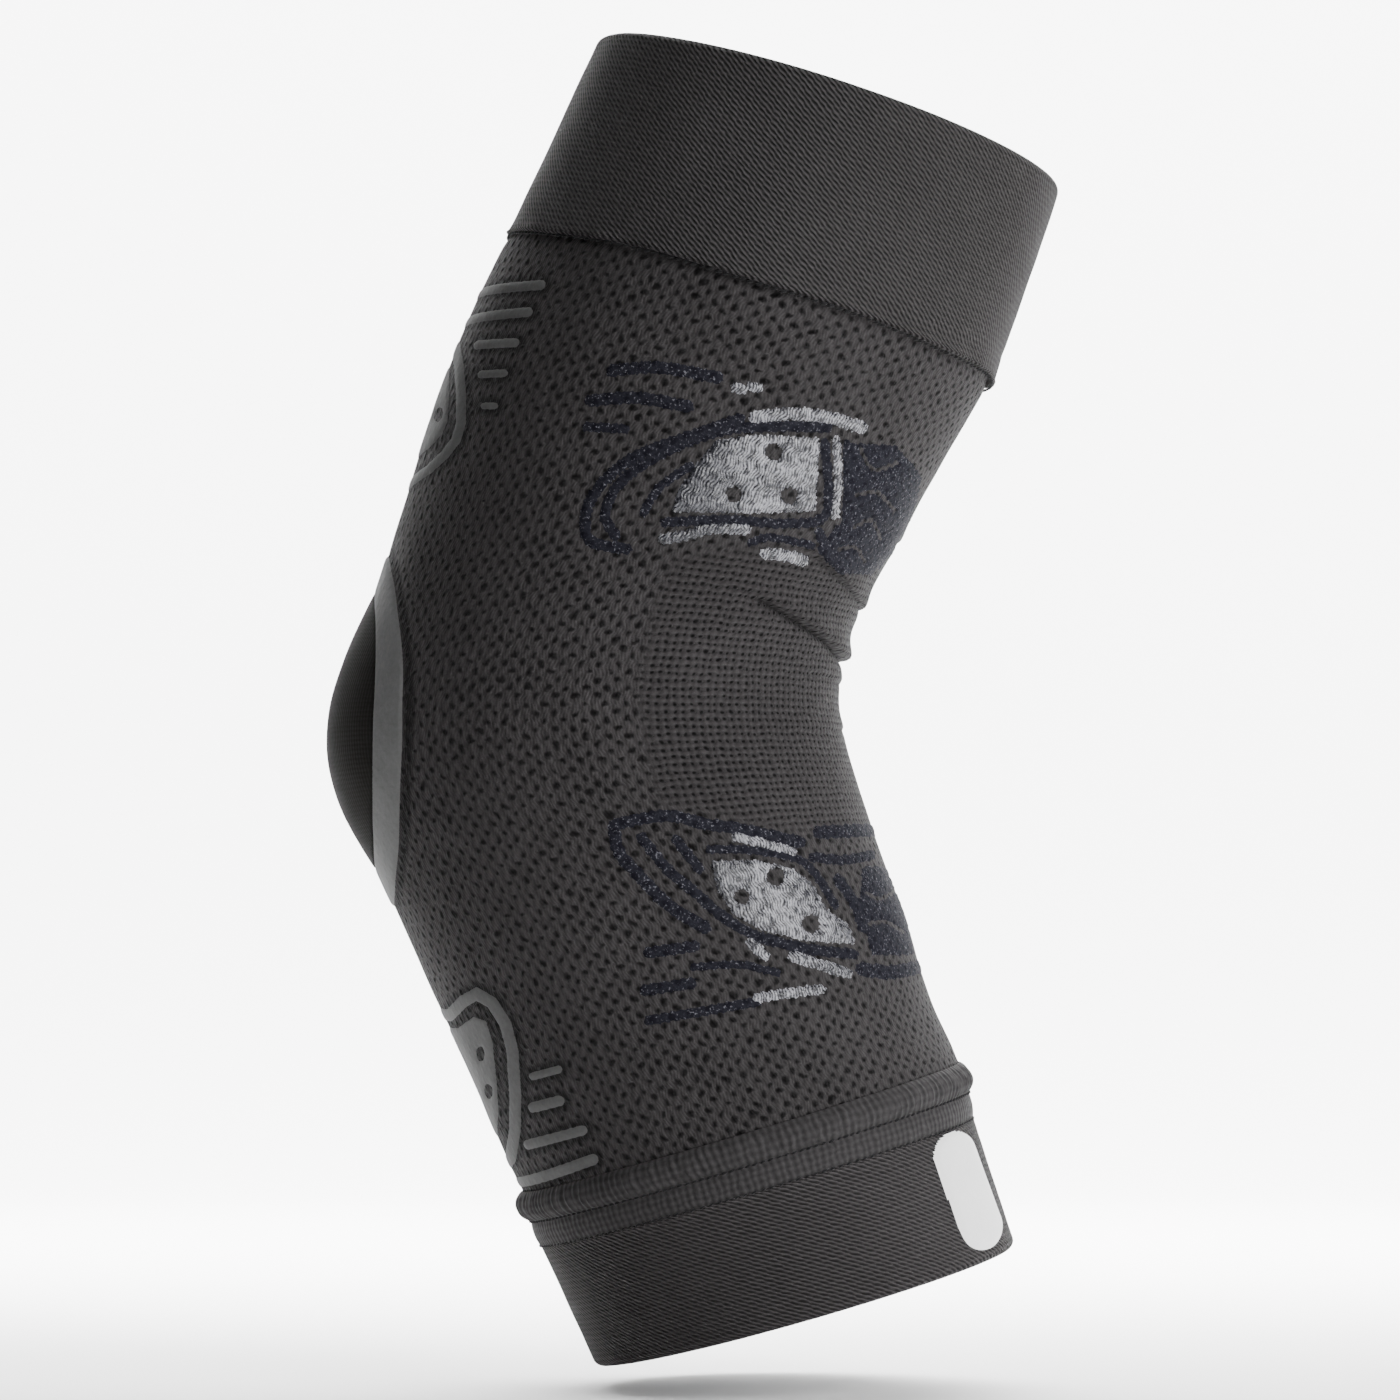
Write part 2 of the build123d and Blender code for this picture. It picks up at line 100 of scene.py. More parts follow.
def smooth_line(points, n=500):
    """Evenly spaced points along a smooth curve near the given ones, in metres."""
    p = np.array(points, float) * MM
    d = np.r_[0, np.cumsum(np.linalg.norm(np.diff(p, axis=0), axis=1))]
    s = np.linspace(0, d[-1], n)
    q = np.stack([np.interp(s, d, p[:, i]) for i in range(2)], axis=1)
    ends = 2 * q[0] - q[1:40][::-1], 2 * q[-1] - q[-40:-1][::-1]
    for _ in range(5):
        wide = np.concatenate([ends[0], q, ends[1]])
        kernel = np.hanning(31)[1:-1]
        kernel /= kernel.sum()
        wide = np.stack(
            [np.convolve(wide[:, i], kernel, mode="same") for i in range(2)], axis=1
        )
        q = wide[39:-39]
        ends = 2 * q[0] - q[1:40][::-1], 2 * q[-1] - q[-40:-1][::-1]
    d = np.r_[0, np.cumsum(np.linalg.norm(np.diff(q, axis=0), axis=1))]
    s = np.linspace(0, d[-1], n)
    return np.stack([np.interp(s, d, q[:, i]) for i in range(2)], axis=1)


TIP = smooth_line(TIP_LINE)
CROOK = smooth_line(CROOK_LINE)
EVEN = np.linspace(0, 1, len(TIP))


def along(line, t):
    """Point on a side outline at a share of its length, straight on past its ends."""
    inside = np.clip(t, 0, 1)
    p = np.stack([np.interp(inside, EVEN, line[:, i]) for i in range(2)], axis=-1)
    start = (line[6] - line[0]) / EVEN[6]
    end = (line[-1] - line[-7]) / EVEN[6]
    return p + np.minimum(t, 0)[..., None] * start + np.maximum(t - 1, 0)[..., None] * end


def oval(tip, crook, depth, egg, a):
    """Point round one section. a is 0 toward the crook, pi/2 on the far side."""
    centre = (tip + crook) / 2
    half = (crook - tip) / 2
    c, s = np.cos(a), np.sin(a)
    x = centre[..., 0] + half[..., 0] * c
    z = centre[..., 1] + half[..., 1] * c
    y = depth * s * (1 + egg * c)
    return np.stack([x + PIVOT[0], y + PIVOT[1], z + PIVOT[2]], axis=-1)


def knit_base(t, a):
    """The knit's smooth surface, without folds."""
    t, a = np.broadcast_arrays(np.asarray(t, float), np.asarray(a, float))
    depth = np.interp(np.clip(t, 0, 1), np.linspace(0, 1, len(DEPTHS)), DEPTHS) * MM
    egg = 0.07 * np.exp(-(((t - 0.5) / 0.22) ** 2))
    return oval(along(TIP, t), along(CROOK, t), depth, egg, a)


def straight_base(top, end, depth_top, depth_end):
    """A surface between two section lines, for the cuffs and the bands."""
    ends = [np.array(v, float) * MM for v in (top[0], end[0], top[1], end[1])]

    def surface(t, a):
        t, a = np.broadcast_arrays(np.asarray(t, float), np.asarray(a, float))
        tip = ends[0] + (ends[1] - ends[0]) * t[..., None]
        crook = ends[2] + (ends[3] - ends[2]) * t[..., None]
        depth = (depth_top + (depth_end - depth_top) * t) * MM
        return oval(tip, crook, depth, 0.0, a)

    return surface


def normals(surface, t, a):
    """Outward unit normals by small steps along the surface."""
    e = 2e-3
    dt = surface(t + e, a) - surface(t - e, a)
    da = surface(t, a + e) - surface(t, a - e)
    n = np.cross(da, dt)
    n /= np.linalg.norm(n, axis=-1, keepdims=True) + 1e-12
    return -n if (n[..., 1] * np.sin(a)).sum() < 0 else n


def noise_at(p, scale, seed):
    """Smooth noise in -1 to 1 at points p, with features of the given size."""
    q = (p / scale).reshape(-1, 3)
    shift = Vector((seed * 17.3, seed * 5.1, seed * 9.7))
    out = [noise.noise(Vector(v) + shift) for v in q]
    return np.array(out).reshape(p.shape[:-1])


def noise_sheet(surface, t_span, scale, seed, n=(90, 120)):
    """A function of t and a giving smooth noise on the surface, quickly."""
    ts = np.linspace(t_span[0], t_span[1], n[0])
    a = np.linspace(0, 2 * math.pi, n[1] + 1)
    grid = noise_at(surface(ts[:, None], a[None, :]), scale, seed)

    def value(t, ang):
        x = (np.clip(t, *t_span) - t_span[0]) / (t_span[1] - t_span[0]) * (n[0] - 1)
        y = (ang % (2 * math.pi)) / (2 * math.pi) * n[1]
        i, j = np.minimum(x.astype(int), n[0] - 2), np.minimum(y.astype(int), n[1] - 1)
        fx, fy = x - i, y - j
        fx, fy = fx * fx * (3 - 2 * fx), fy * fy * (3 - 2 * fy)
        low = grid[i, j] * (1 - fy) + grid[i, j + 1] * fy
        high = grid[i + 1, j] * (1 - fy) + grid[i + 1, j + 1] * fy
        return low * (1 - fx) + high * fx

    return value


def bump(x):
    return np.exp(-x * x)


# ------------------------------------------------------------ folds of the knit
# Creases in the crook, seen from the side, in millimetres from the pivot.
CREASES = (
    (((23.0, 19.9), (31.4, 17.7), (39.6, 13.4), (43.5, 11.0), (47.5, 7.6), (51.5, 3.6)), 2.1, 3.3),
    (((37.0, 27.2), (42.2, 24.9), (48.7, 19.6), (51.8, 15.0)), 0.95, 2.6),
    (((33.0, 8.6), (40.0, 5.6), (47.5, 4.2)), 0.5, 1.7),
    (((34.0, -5.0), (41.0, -5.2), (49.0, -3.6)), 0.45, 2.2),
    (((41.0, 36.0), (49.0, 34.6), (58.0, 29.0)), 0.45, 2.8),
)


def crease_height(p):
    """Height of the crook folds at points p: a soft roll above each sharp crease."""
    q = (p - PIVOT) / MM
    xz = q[..., (0, 2)]
    out = np.zeros(q.shape[:-1])
    for line, height, width in CREASES:
        pts = np.array(line, float)
        best = np.full(out.shape, 1e9)
        sign = np.zeros(out.shape)
        share = np.zeros(out.shape)
        for k in range(len(pts) - 1):
            u = pts[k + 1] - pts[k]
            w = xz - pts[k]
            f = np.clip((w @ u) / (u @ u), 0, 1)
            gap = w - f[..., None] * u
            d = np.linalg.norm(gap, axis=-1)
            near = d < best
            best = np.where(near, d, best)
            above = (u[0] * w[..., 1] - u[1] * w[..., 0]) > 0
            sign = np.where(near, np.where(above, 1.0, -1.0), sign)
            share = np.where(near, (k + f) / (len(pts) - 1), share)
        fade = np.clip(share / 0.35, 0, 1)
        fade = fade * fade * (3 - 2 * fade)
        d = best * sign
        roll = np.where(
            d > 0,
            (1 - np.exp(-d / 0.5)) * np.exp(-((d / width) ** 2)) - np.exp(-d / 0.8) * 0.4,
            -0.4 * np.exp(d / 0.9) + 0.25 * (1 - np.exp(d / 0.8)) * np.exp(-((d / width) ** 2)),
        )
        out += height * roll * fade
    return out * MM


def knit_surface(t, a, extra=0.0):
    """The knit's surface with its folds. extra lifts it along its normal."""
    base = knit_base(t, a)
    n = normals(knit_base, t, a)
    lift = crease_height(base)
    lift = lift + KNIT_WAVE(t, a) * 0.28 * MM + KNIT_RIPPLE(t, a) * 0.10 * MM
    # The knit is drawn in under the cuff and above the gathered roll.
    lift = lift - 0.5 * MM * bump(t / 0.012) - 0.4 * MM * bump((t - 1) / 0.02)
    return base + n * (lift + extra)[..., None]


KNIT_WAVE = noise_sheet(knit_base, (-0.1, 1.1), 0.022, 1)
KNIT_RIPPLE = noise_sheet(knit_base, (-0.1, 1.1), 0.007, 2, (200, 260))


# ------------------------------------------------------------------- meshes
def mesh_from(name, verts, faces, uv=None):
    mesh = bpy.data.meshes.new(name)
    mesh.from_pydata(verts.tolist(), [], faces.tolist())
    if uv is not None:
        layer = mesh.uv_layers.new(name="knit")
        loops = np.empty(len(mesh.loops), int)
        mesh.loops.foreach_get("vertex_index", loops)
        layer.data.foreach_set("uv", uv[loops].astype(np.float32).ravel())
    mesh.polygons.foreach_set("use_smooth", [True] * len(mesh.polygons))
    mesh.update()
    obj = bpy.data.objects.new(name, mesh)
    bpy.context.scene.collection.objects.link(obj)
    return obj


def closed_faces(rows, cols):
    """Quads of a grid whose two directions both close on themselves."""
    i, j = np.meshgrid(np.arange(rows), np.arange(cols), indexing="ij")
    i2, j2 = (i + 1) % rows, (j + 1) % cols
    return np.stack([i * cols + j, i * cols + j2, i2 * cols + j2, i2 * cols + j], -1).reshape(-1, 4)


def swept(name, surface, profile, around, cells, rows, lift=None):
    """A closed ring: profile is a loop of (t, offset in mm) swept round the sleeve.

    The UV map counts knit cells: around the sleeve, and along the profile."""
    prof = np.array(profile, float)
    a = np.linspace(0, 2 * math.pi, around, endpoint=False)
    t = np.repeat(prof[:, 0][:, None], around, axis=1)
    aa = np.repeat(a[None, :], len(prof), axis=0)
    base = surface(t, aa)
    n = normals(surface, t, aa)
    off = np.repeat(prof[:, 1][:, None], around, axis=1) * MM
    if lift is not None:
        off = off + lift(t, aa, prof[:, 1][:, None])
    verts = (base + n * off[..., None]).reshape(-1, 3)
    faces = closed_faces(len(prof), around)
    obj = mesh_from(name, verts, faces)
    layer = obj.data.uv_layers.new(name="knit")
    loops = np.empty(len(obj.data.loops), int)
    obj.data.loops.foreach_get("vertex_index", loops)
    row, col = loops // around, loops % around
    face_col = np.repeat(col.reshape(-1, 4).min(axis=1), 4)
    seam = np.repeat(col.reshape(-1, 4).max(axis=1), 4) == around - 1
    wrap = seam & (face_col == 0) & (col == 0)
    run = np.r_[0, np.cumsum(np.abs(np.diff(prof[:, 0])))]
    run = np.r_[run, run[-1] + abs(prof[0, 0] - prof[-1, 0])]
    face_row = np.repeat(row.reshape(-1, 4).min(axis=1), 4)
    last = np.repeat(row.reshape(-1, 4).max(axis=1), 4) == len(prof) - 1
    wrap_row = last & (face_row == 0) & (row == 0)
    v = np.where(wrap_row, run[-1], run[row]) * rows
    u = np.where(wrap, 1.0, col / around) * cells
    layer.data.foreach_set("uv", np.stack([u, v], -1).astype(np.float32).ravel())
    return obj


def patch(name, surface, t_span, a_span, spacing, shape, height, sink=0.35, extra=0.0):
    """A raised print on a surface. shape(points) is its signed distance in mm,
    negative inside; height(distance) is how far it stands out, in mm."""
    t_run = np.linalg.norm(
        surface(np.array([t_span[1]]), np.array([np.mean(a_span)]))
        - surface(np.array([t_span[0]]), np.array([np.mean(a_span)]))
    )
    a_run = 0.043 * abs(a_span[1] - a_span[0])
    rows = max(4, int(t_run / (spacing * COARSE * MM)))
    cols = max(4, int(a_run / (spacing * COARSE * MM)))
    t = np.linspace(t_span[0], t_span[1], rows)[:, None] + np.zeros((1, cols))
    a = np.linspace(a_span[0], a_span[1], cols)[None, :] + np.zeros((rows, 1))
    ground = surface(t, a)
    d = shape(ground)
    up = np.where(d < 0, height(np.minimum(d, 0)), -sink * np.clip(d / 0.6, 0, 1)) + extra
    n = normals(surface, t, a)
    verts = ground + n * (up * MM)[..., None]
    inside = d < 0.62 * COARSE
    cell = inside[:-1, :-1] & inside[1:, :-1] & inside[1:, 1:] & inside[:-1, 1:]
    i, j = np.nonzero(cell)
    quads = np.stack([i * cols + j, i * cols + j + 1, (i + 1) * cols + j + 1, (i + 1) * cols + j], -1)
    used, index = np.unique(quads, return_inverse=True)
    uv = np.stack([a / (2 * math.pi) * CELLS, t * ROWS], -1).reshape(-1, 2)[used]
    return mesh_from(name, verts.reshape(-1, 3)[used], index.reshape(-1, 4), uv)


# ------------------------------------------------------------ signed distances
def seg(p, a, b, r):
    """Distance to a round-ended bar from a to b of half width r."""
    a, b = np.array(a, float), np.array(b, float)
    u = b - a
    f = np.clip(((p - a) @ u) / (u @ u), 0, 1)
    return np.linalg.norm(p - a - f[..., None] * u, axis=-1) - r


def bar_line(p, points, r):
    """Distance to a smooth bar through several points."""
    pts = np.array(points, float)
    if len(pts) > 2:
        k = np.arange(len(pts))
        fine = np.linspace(0, len(pts) - 1, 8 * len(pts))
        i = np.clip(fine.astype(int), 0, len(pts) - 2)
        f = (fine - i)[:, None]
        before, after = pts[np.maximum(i - 1, 0)], pts[np.minimum(i + 2, k[-1])]
        m0, m1 = (pts[i + 1] - before) / 2, (after - pts[i]) / 2
        pts = (
            (2 * f**3 - 3 * f**2 + 1) * pts[i] + (f**3 - 2 * f**2 + f) * m0
            + (-2 * f**3 + 3 * f**2) * pts[i + 1] + (f**3 - f**2) * m1
        )
    out = np.full(p.shape[:-1], 1e9)
    for a, b in zip(pts[:-1], pts[1:]):
        if np.linalg.norm(b - a) > 1e-6:
            out = np.minimum(out, seg(p, a, b, r))
    return out


def polygon(p, corners, r=0.0):
    """Signed distance to a polygon with its corners rounded outward by r."""
    c = np.array(corners, float)
    d = np.full(p.shape[:-1], 1e9)
    inside = np.zeros(p.shape[:-1], bool)
    for a, b in zip(c, np.roll(c, -1, axis=0)):
        d = np.minimum(d, seg(p, a, b, 0.0))
        cross = (a[1] > p[..., 1]) != (b[1] > p[..., 1])
        x = (b[0] - a[0]) * (p[..., 1] - a[1]) / (b[1] - a[1] + 1e-12) + a[0]
        inside ^= cross & (p[..., 0] < x)
    return np.where(inside, -d, d) - r


def disc(p, centre, r):
    return np.linalg.norm(p - np.array(centre, float), axis=-1) - r


def side(points):
    """Side view of points, in millimetres from the pivot."""
    return ((points - PIVOT) / MM)[..., (0, 2)]


def ragged(p, amount, size):
    """Unevenness of a print's edge, where it has sunk between the stitches."""
    x, z = p[..., 0] / size, p[..., 1] / size
    return amount * (np.sin(3.1 * x + 1.7 * z) * np.sin(2.9 * z - 0.8 * x) + 0.5 * np.sin(6.7 * x - 4.1 * z))


def union(parts):
    out = parts[0]
    for d in parts[1:]:
        out = np.minimum(out, d)
    return out


def cut(d, holes):
    for h in holes:
        d = np.maximum(d, -h)
    return d


def upper_bright(points):
    p = side(points)
    plate = polygon(
        p,
        (
            (24.1, 44.5), (31.3, 45.6), (41.6, 45.3), (40.9, 33.6),
            (29.9, 32.8), (16.7, 32.8), (17.5, 35.8), (21.1, 40.9),
        ),
        0.3,
    )
    holes = [disc(p, (33.9, 43.1), 1.6), disc(p, (27.0, 35.6), 1.45), disc(p, (36.7, 35.7), 1.55)]
    marks = [
        cut(plate, holes),
        bar_line(p, ((30.6, 48.9), (34.6, 49.5), (38.7, 49.7), (44.0, 49.2), (49.3, 48.0)), 1.0),
        bar_line(p, ((27.2, 54.0), (28.4, 53.7)), 0.75),
        bar_line(p, ((30.0, 54.2), (31.2, 54.0)), 0.7),
        bar_line(p, ((44.9, 45.6), (45.3, 39.0), (44.8, 32.8)), 0.65),
        bar_line(p, ((14.7, 27.7), (19.0, 28.5), (23.0, 29.6), (29.1, 29.6)), 0.8),
        bar_line(p, ((32.6, 25.6), (36.0, 25.4), (39.2, 24.7)), 0.9),
    ]
    return union(marks) + ragged(p, 0.26, 0.75)


def upper_dark(points):
    p = side(points)
    blob = polygon(
        p,
        (
            (47.6, 44.6), (55.4, 44.8), (60.0, 40.9), (59.0, 35.0), (55.4, 28.0),
            (51.4, 24.0), (46.0, 23.4), (42.2, 26.8), (46.4, 31.4), (47.4, 38.0),
        ),
        0.6,
    )
    veins = [
        bar_line(p, ((49.2, 44.4), (51.6, 41.0), (56.0, 42.6)), 0.32),
        bar_line(p, ((48.6, 36.4), (52.4, 37.2), (55.6, 34.6)), 0.32),
        bar_line(p, ((48.4, 31.0), (51.4, 32.4), (53.2, 29.6)), 0.3),
        bar_line(p, ((45.6, 27.0), (48.6, 27.6), (50.4, 25.4)), 0.3),
    ]
    inner_loop = (
        (43.4, 47.6), (33.0, 47.4), (24.4, 46.4), (14.6, 42.6), (7.4, 37.6), (4.6, 32.2), (6.4, 28.4),
    )
    outer_loop = (
        (28.0, 48.6), (18.9, 45.4), (9.4, 41.8), (3.4, 36.6), (1.2, 31.4), (2.2, 27.4), (8.4, 26.0),
    )
    marks = [
        cut(blob, veins),
        bar_line(p, inner_loop, 0.95),
        bar_line(p, outer_loop, 1.0),
        bar_line(p, ((42.9, 45.0), (43.2, 33.0), (36.0, 30.9), (26.0, 31.2), (15.0, 30.6)), 0.85),
        bar_line(p, ((46.9, 45.0), (47.0, 32.6)), 0.75),
        bar_line(p, ((5.8, 57.2), (14.0, 57.5), (24.1, 55.7)), 1.1),
        bar_line(p, ((2.1, 52.0), (10.0, 52.3), (18.9, 50.7)), 1.1),
        bar_line(p, ((1.4, 47.4), (8.0, 46.9)), 0.85),
        bar_line(p, ((19.4, 40.4), (14.0, 36.6), (11.4, 32.4)), 0.8),
        bar_line(p, ((30.0, 27.4), (33.4, 28.4), (40.6, 27.4)), 0.7),
        bar_line(p, ((42.0, 29.6), (44.0, 25.2)), 0.9),
    ]
    return union(marks) + ragged(p, 0.2, 0.8)


def forearm_bright(points):
    p = side(points)
    plate = polygon(
        p,
        (
            (23.5, -28.4), (30.5, -28.2), (37.2, -29.6), (40.8, -32.6), (42.7, -36.3),
            (46.9, -39.4), (47.8, -42.0), (39.6, -41.5), (31.7, -39.6), (27.4, -37.2), (24.4, -32.8),
        ),
        0.3,
    )
    holes = [disc(p, (34.3, -30.7), 1.7), disc(p, (28.4, -34.2), 1.45), disc(p, (40.5, -38.9), 1.7)]
    marks = [
        cut(plate, holes),
        bar_line(p, ((27.4, -23.8), (32.0, -24.8), (37.2, -26.4)), 0.75),
        bar_line(p, ((29.9, -42.2), (32.3, -44.4)), 0.8),
        bar_line(p, ((37.4, -44.6), (42.0, -46.0), (46.9, -47.5)), 0.85),
        bar_line(p, ((31.0, -51.8), (36.0, -51.0), (42.1, -50.3)), 0.75),
    ]
    return union(marks) + ragged(p, 0.26, 0.75)


def forearm_dark(points):
    p = side(points)
    corners = (
        (50.6, -29.4), (54.2, -29.4), (57.6, -37.0), (58.6, -43.6), (52.0, -43.6), (50.0, -36.0),
    )
    blob = polygon(p, corners, 0.8)
    veins = [
        bar_line(p, ((50.8, -33.4), (53.0, -34.4), (56.0, -33.0)), 0.32),
        bar_line(p, ((51.0, -38.8), (54.4, -38.6), (57.4, -40.4)), 0.32),
    ]
    inner_loop = (
        (11.0, -24.0), (15.6, -29.6), (20.4, -33.6), (25.0, -37.6),
        (31.0, -41.0), (39.6, -43.2), (48.0, -44.2),
    )
    marks = [
        cut(blob, veins),
        bar_line(p, ((6.8, -21.6), (15.3, -20.2), (22.0, -21.6), (28.0, -22.4), (38.6, -24.6)), 1.05),
        bar_line(p, ((6.2, -22.0), (7.0, -26.4), (10.4, -30.4), (15.6, -35.6), (22.0, -39.6)), 1.1),
        bar_line(p, inner_loop, 0.95),
        bar_line(p, ((17.0, -24.4), (21.0, -29.4)), 0.9),
        bar_line(p, ((22.8, -26.0), (31.0, -26.2), (39.6, -28.4), (44.8, -35.6)), 0.75),
        bar_line(p, ((12.2, -43.9), (20.1, -42.8)), 1.0),
        bar_line(p, ((11.6, -50.4), (19.5, -49.2)), 1.0),
        bar_line(p, ((12.2, -55.6), (20.6, -54.2), (31.0, -52.4)), 0.85),
        bar_line(p, ((20.0, -46.4), (28.0, -46.0), (34.4, -47.4)), 0.7),
        bar_line(p, ((42.1, -22.8), (47.6, -22.4), (54.0, -21.8)), 1.2),
        bar_line(p, ((41.0, -27.2), (46.4, -27.6), (51.6, -26.6)), 0.9),
        bar_line(p, ((45.4, -31.0), (48.4, -35.4), (49.8, -39.4)), 1.0),
        bar_line(p, ((49.6, -46.8), (54.6, -47.4), (60.0, -46.6)), 1.25),
    ]
    return union(marks) + ragged(p, 0.2, 0.8)


def stadium_hole(p, centre, rx, rz):
    d = (p - np.array(centre, float)) / np.array((rx, rz))
    return (np.linalg.norm(d, axis=-1) - 1) * rx


def upper_rear(points):
    p = side(points)
    outline = (
        (-44.0, 68.6), (-24.6, 68.0), (-22.3, 66.4), (-21.0, 61.0), (-20.3, 55.0),
        (-20.2, 49.6), (-21.2, 46.2), (-23.4, 43.6), (-26.6, 41.2), (-44.0, 34.0),
    )
    ring = np.abs(polygon(p, outline) + 1.0) - 0.95
    island = polygon(
        p,
        (
            (-44.0, 63.6), (-25.4, 63.4), (-24.0, 61.2), (-23.7, 55.0),
            (-23.8, 50.4), (-24.8, 48.2), (-27.2, 46.2), (-44.0, 40.0),
        ),
    )
    island = np.maximum(island, -stadium_hole(p, (-25.7, 52.2), 0.95, 1.4))
    bars = [
        bar_line(p, ((-44.0, 78.6), (-18.7, 74.6), (-7.0, 73.5)), 0.95),
        bar_line(p, ((-44.0, 72.0), (-19.8, 69.4), (-9.2, 68.7)), 0.92),
        bar_line(p, ((-18.4, 63.9), (-11.5, 63.3)), 0.85),
        bar_line(p, ((-17.6, 58.2), (-13.4, 57.9)), 0.72),
        bar_line(p, ((-17.0, 52.3), (-15.0, 52.1)), 0.62),
    ]
    return union([ring, island] + bars) + ragged(p, 0.05, 0.8)


def forearm_rear(points):
    p = side(points)
    outline = (
        (-44.0, -54.0), (-24.0, -54.0), (-21.4, -51.6), (-18.2, -49.9), (-14.6, -51.9), (-12.0, -55.9),
        (-10.7, -60.9), (-10.3, -69.1), (-10.5, -75.4), (-11.6, -81.0), (-14.0, -84.6), (-44.0, -84.6),
    )
    ring = np.abs(polygon(p, outline) + 1.15) - 1.1
    island = polygon(
        p,
        (
            (-44.0, -58.4), (-22.0, -57.4), (-18.9, -55.3), (-16.6, -56.0), (-15.5, -59.6), (-14.9, -66.0),
            (-14.7, -72.3), (-15.3, -77.0), (-17.0, -79.6), (-44.0, -79.6),
        ),
    )
    for hole in ((-17.8, -61.9), (-16.5, -68.6)):
        island = np.maximum(island, -stadium_hole(p, hole, 0.8, 1.35))
    bars = [
        bar_line(p, ((-8.2, -65.6), (-3.6, -64.3)), 0.7),
        bar_line(p, ((-8.2, -71.1), (-3.5, -69.8)), 0.95),
        bar_line(p, ((-9.2, -77.8), (0.6, -74.9)), 0.9),
        bar_line(p, ((-44.0, -96.0), (-11.5, -85.2), (2.4, -80.0)), 1.0),
    ]
    return union([ring, island] + bars) + ragged(p, 0.05, 0.8)


def tip_radius(points):
    q = (points - PIVOT) / MM
    return np.hypot(q[..., 1] / RING_WIDTH, q[..., 2] + RING_DROP)


def raised(top, edge):
    """Height of a print with a rounded edge."""
    return lambda d: top * (1 - np.exp(d / edge * 1.6))


# ------------------------------------------------------------------ materials
class Sock:
    """A shader value that can be worked with as a number."""

    tree = None

    def __init__(self, out):
        self.out = out

    @staticmethod
    def math(op, *args, clamp=False):
        node = Sock.tree.nodes.new("ShaderNodeMath")
        node.operation = op
        node.use_clamp = clamp
        for k, v in enumerate(args):
            if isinstance(v, Sock):
                Sock.tree.links.new(v.out, node.inputs[k])
            else:
                node.inputs[k].default_value = float(v)
        return Sock(node.outputs[0])

    def __add__(self, o):
        return Sock.math("ADD", self, o)

    def __sub__(self, o):
        return Sock.math("SUBTRACT", self, o)

    def __rsub__(self, o):
        return Sock.math("SUBTRACT", o, self)

    def __mul__(self, o):
        return Sock.math("MULTIPLY", self, o)

    def __truediv__(self, o):
        return Sock.math("DIVIDE", self, o)

    __radd__ = __add__
    __rmul__ = __mul__


def sin(x):
    return Sock.math("SINE", x)


def fract(x):
    return Sock.math("FRACT", x)


def least(a, b):
    return Sock.math("MINIMUM", a, b)


def most(a, b):
    return Sock.math("MAXIMUM", a, b)


def root(x):
    return Sock.math("SQRT", x)


def step(x, low, high, a=0.0, b=1.0):
    """a below low, b above high, smooth between."""
    node = Sock.tree.nodes.new("ShaderNodeMapRange")
    node.interpolation_type = "SMOOTHSTEP"
    for k, v in enumerate((x, low, high, a, b)):
        if isinstance(v, Sock):
            Sock.tree.links.new(v.out, node.inputs[k])
        else:
            node.inputs[k].default_value = float(v)
    return Sock(node.outputs[0])


def knit_uv():
    node = Sock.tree.nodes.new("ShaderNodeUVMap")
    node.uv_map = "knit"
    split = Sock.tree.nodes.new("ShaderNodeSeparateXYZ")
    Sock.tree.links.new(node.outputs[0], split.inputs[0])
    return Sock(split.outputs[0]), Sock(split.outputs[1])


def cloud(scale, detail=2.0, rough=0.5):
    """Noise in the object's own space, about 0 to 1. scale is per metre."""
    coord = Sock.tree.nodes.new("ShaderNodeTexCoord")
    node = Sock.tree.nodes.new("ShaderNodeTexNoise")
    node.inputs["Scale"].default_value = scale
    node.inputs["Detail"].default_value = detail
    node.inputs["Roughness"].default_value = rough
    Sock.tree.links.new(coord.outputs["Object"], node.inputs["Vector"])
    return Sock(node.outputs[0])


def lattice(u, v, pitch_u, pitch_v):
    """Distance in mm to the nearest point of a staggered lattice with cells of 1."""
    du = (fract(u + 0.5) - 0.5) * pitch_u
    dv = (fract(v + 0.5) - 0.5) * pitch_v
    eu = (fract(u) - 0.5) * pitch_u
    ev = (fract(v) - 0.5) * pitch_v
    return least(root(du * du + dv * dv), root(eu * eu + ev * ev))


def square(u, v, pitch_u, pitch_v):
    """Distance in mm to the nearest point of a square lattice with cells of 1."""
    du = (fract(u + 0.5) - 0.5) * pitch_u
    dv = (fract(v + 0.5) - 0.5) * pitch_v
    return root(du * du + dv * dv)


def mixed(colour_a, colour_b, factor):
    node = Sock.tree.nodes.new("ShaderNodeMix")
    node.data_type = "RGBA"
    for k, v in ((0, factor), (6, colour_a), (7, colour_b)):
        if isinstance(v, Sock):
            Sock.tree.links.new(v.out, node.inputs[k])
        elif k == 0:
            node.inputs[k].default_value = v
        else:
            node.inputs[k].default_value = (*v, 1.0)
    return Sock(node.outputs[2])


def new_material(name):
    mat = bpy.data.materials.new(name)
    mat.use_nodes = True
    Sock.tree = mat.node_tree
    return mat, mat.node_tree.nodes["Principled BSDF"]


def relief(shader, height, depth_mm):
    """Bump the shader by a height of 0 to 1 that stands for depth_mm."""
    node = Sock.tree.nodes.new("ShaderNodeBump")
    node.inputs["Strength"].default_value = 1.0
    node.inputs["Distance"].default_value = depth_mm * MM
    Sock.tree.links.new(height.out, node.inputs["Height"])
    Sock.tree.links.new(node.outputs[0], shader.inputs["Normal"])


def link(value, socket):
    Sock.tree.links.new(value.out, socket)


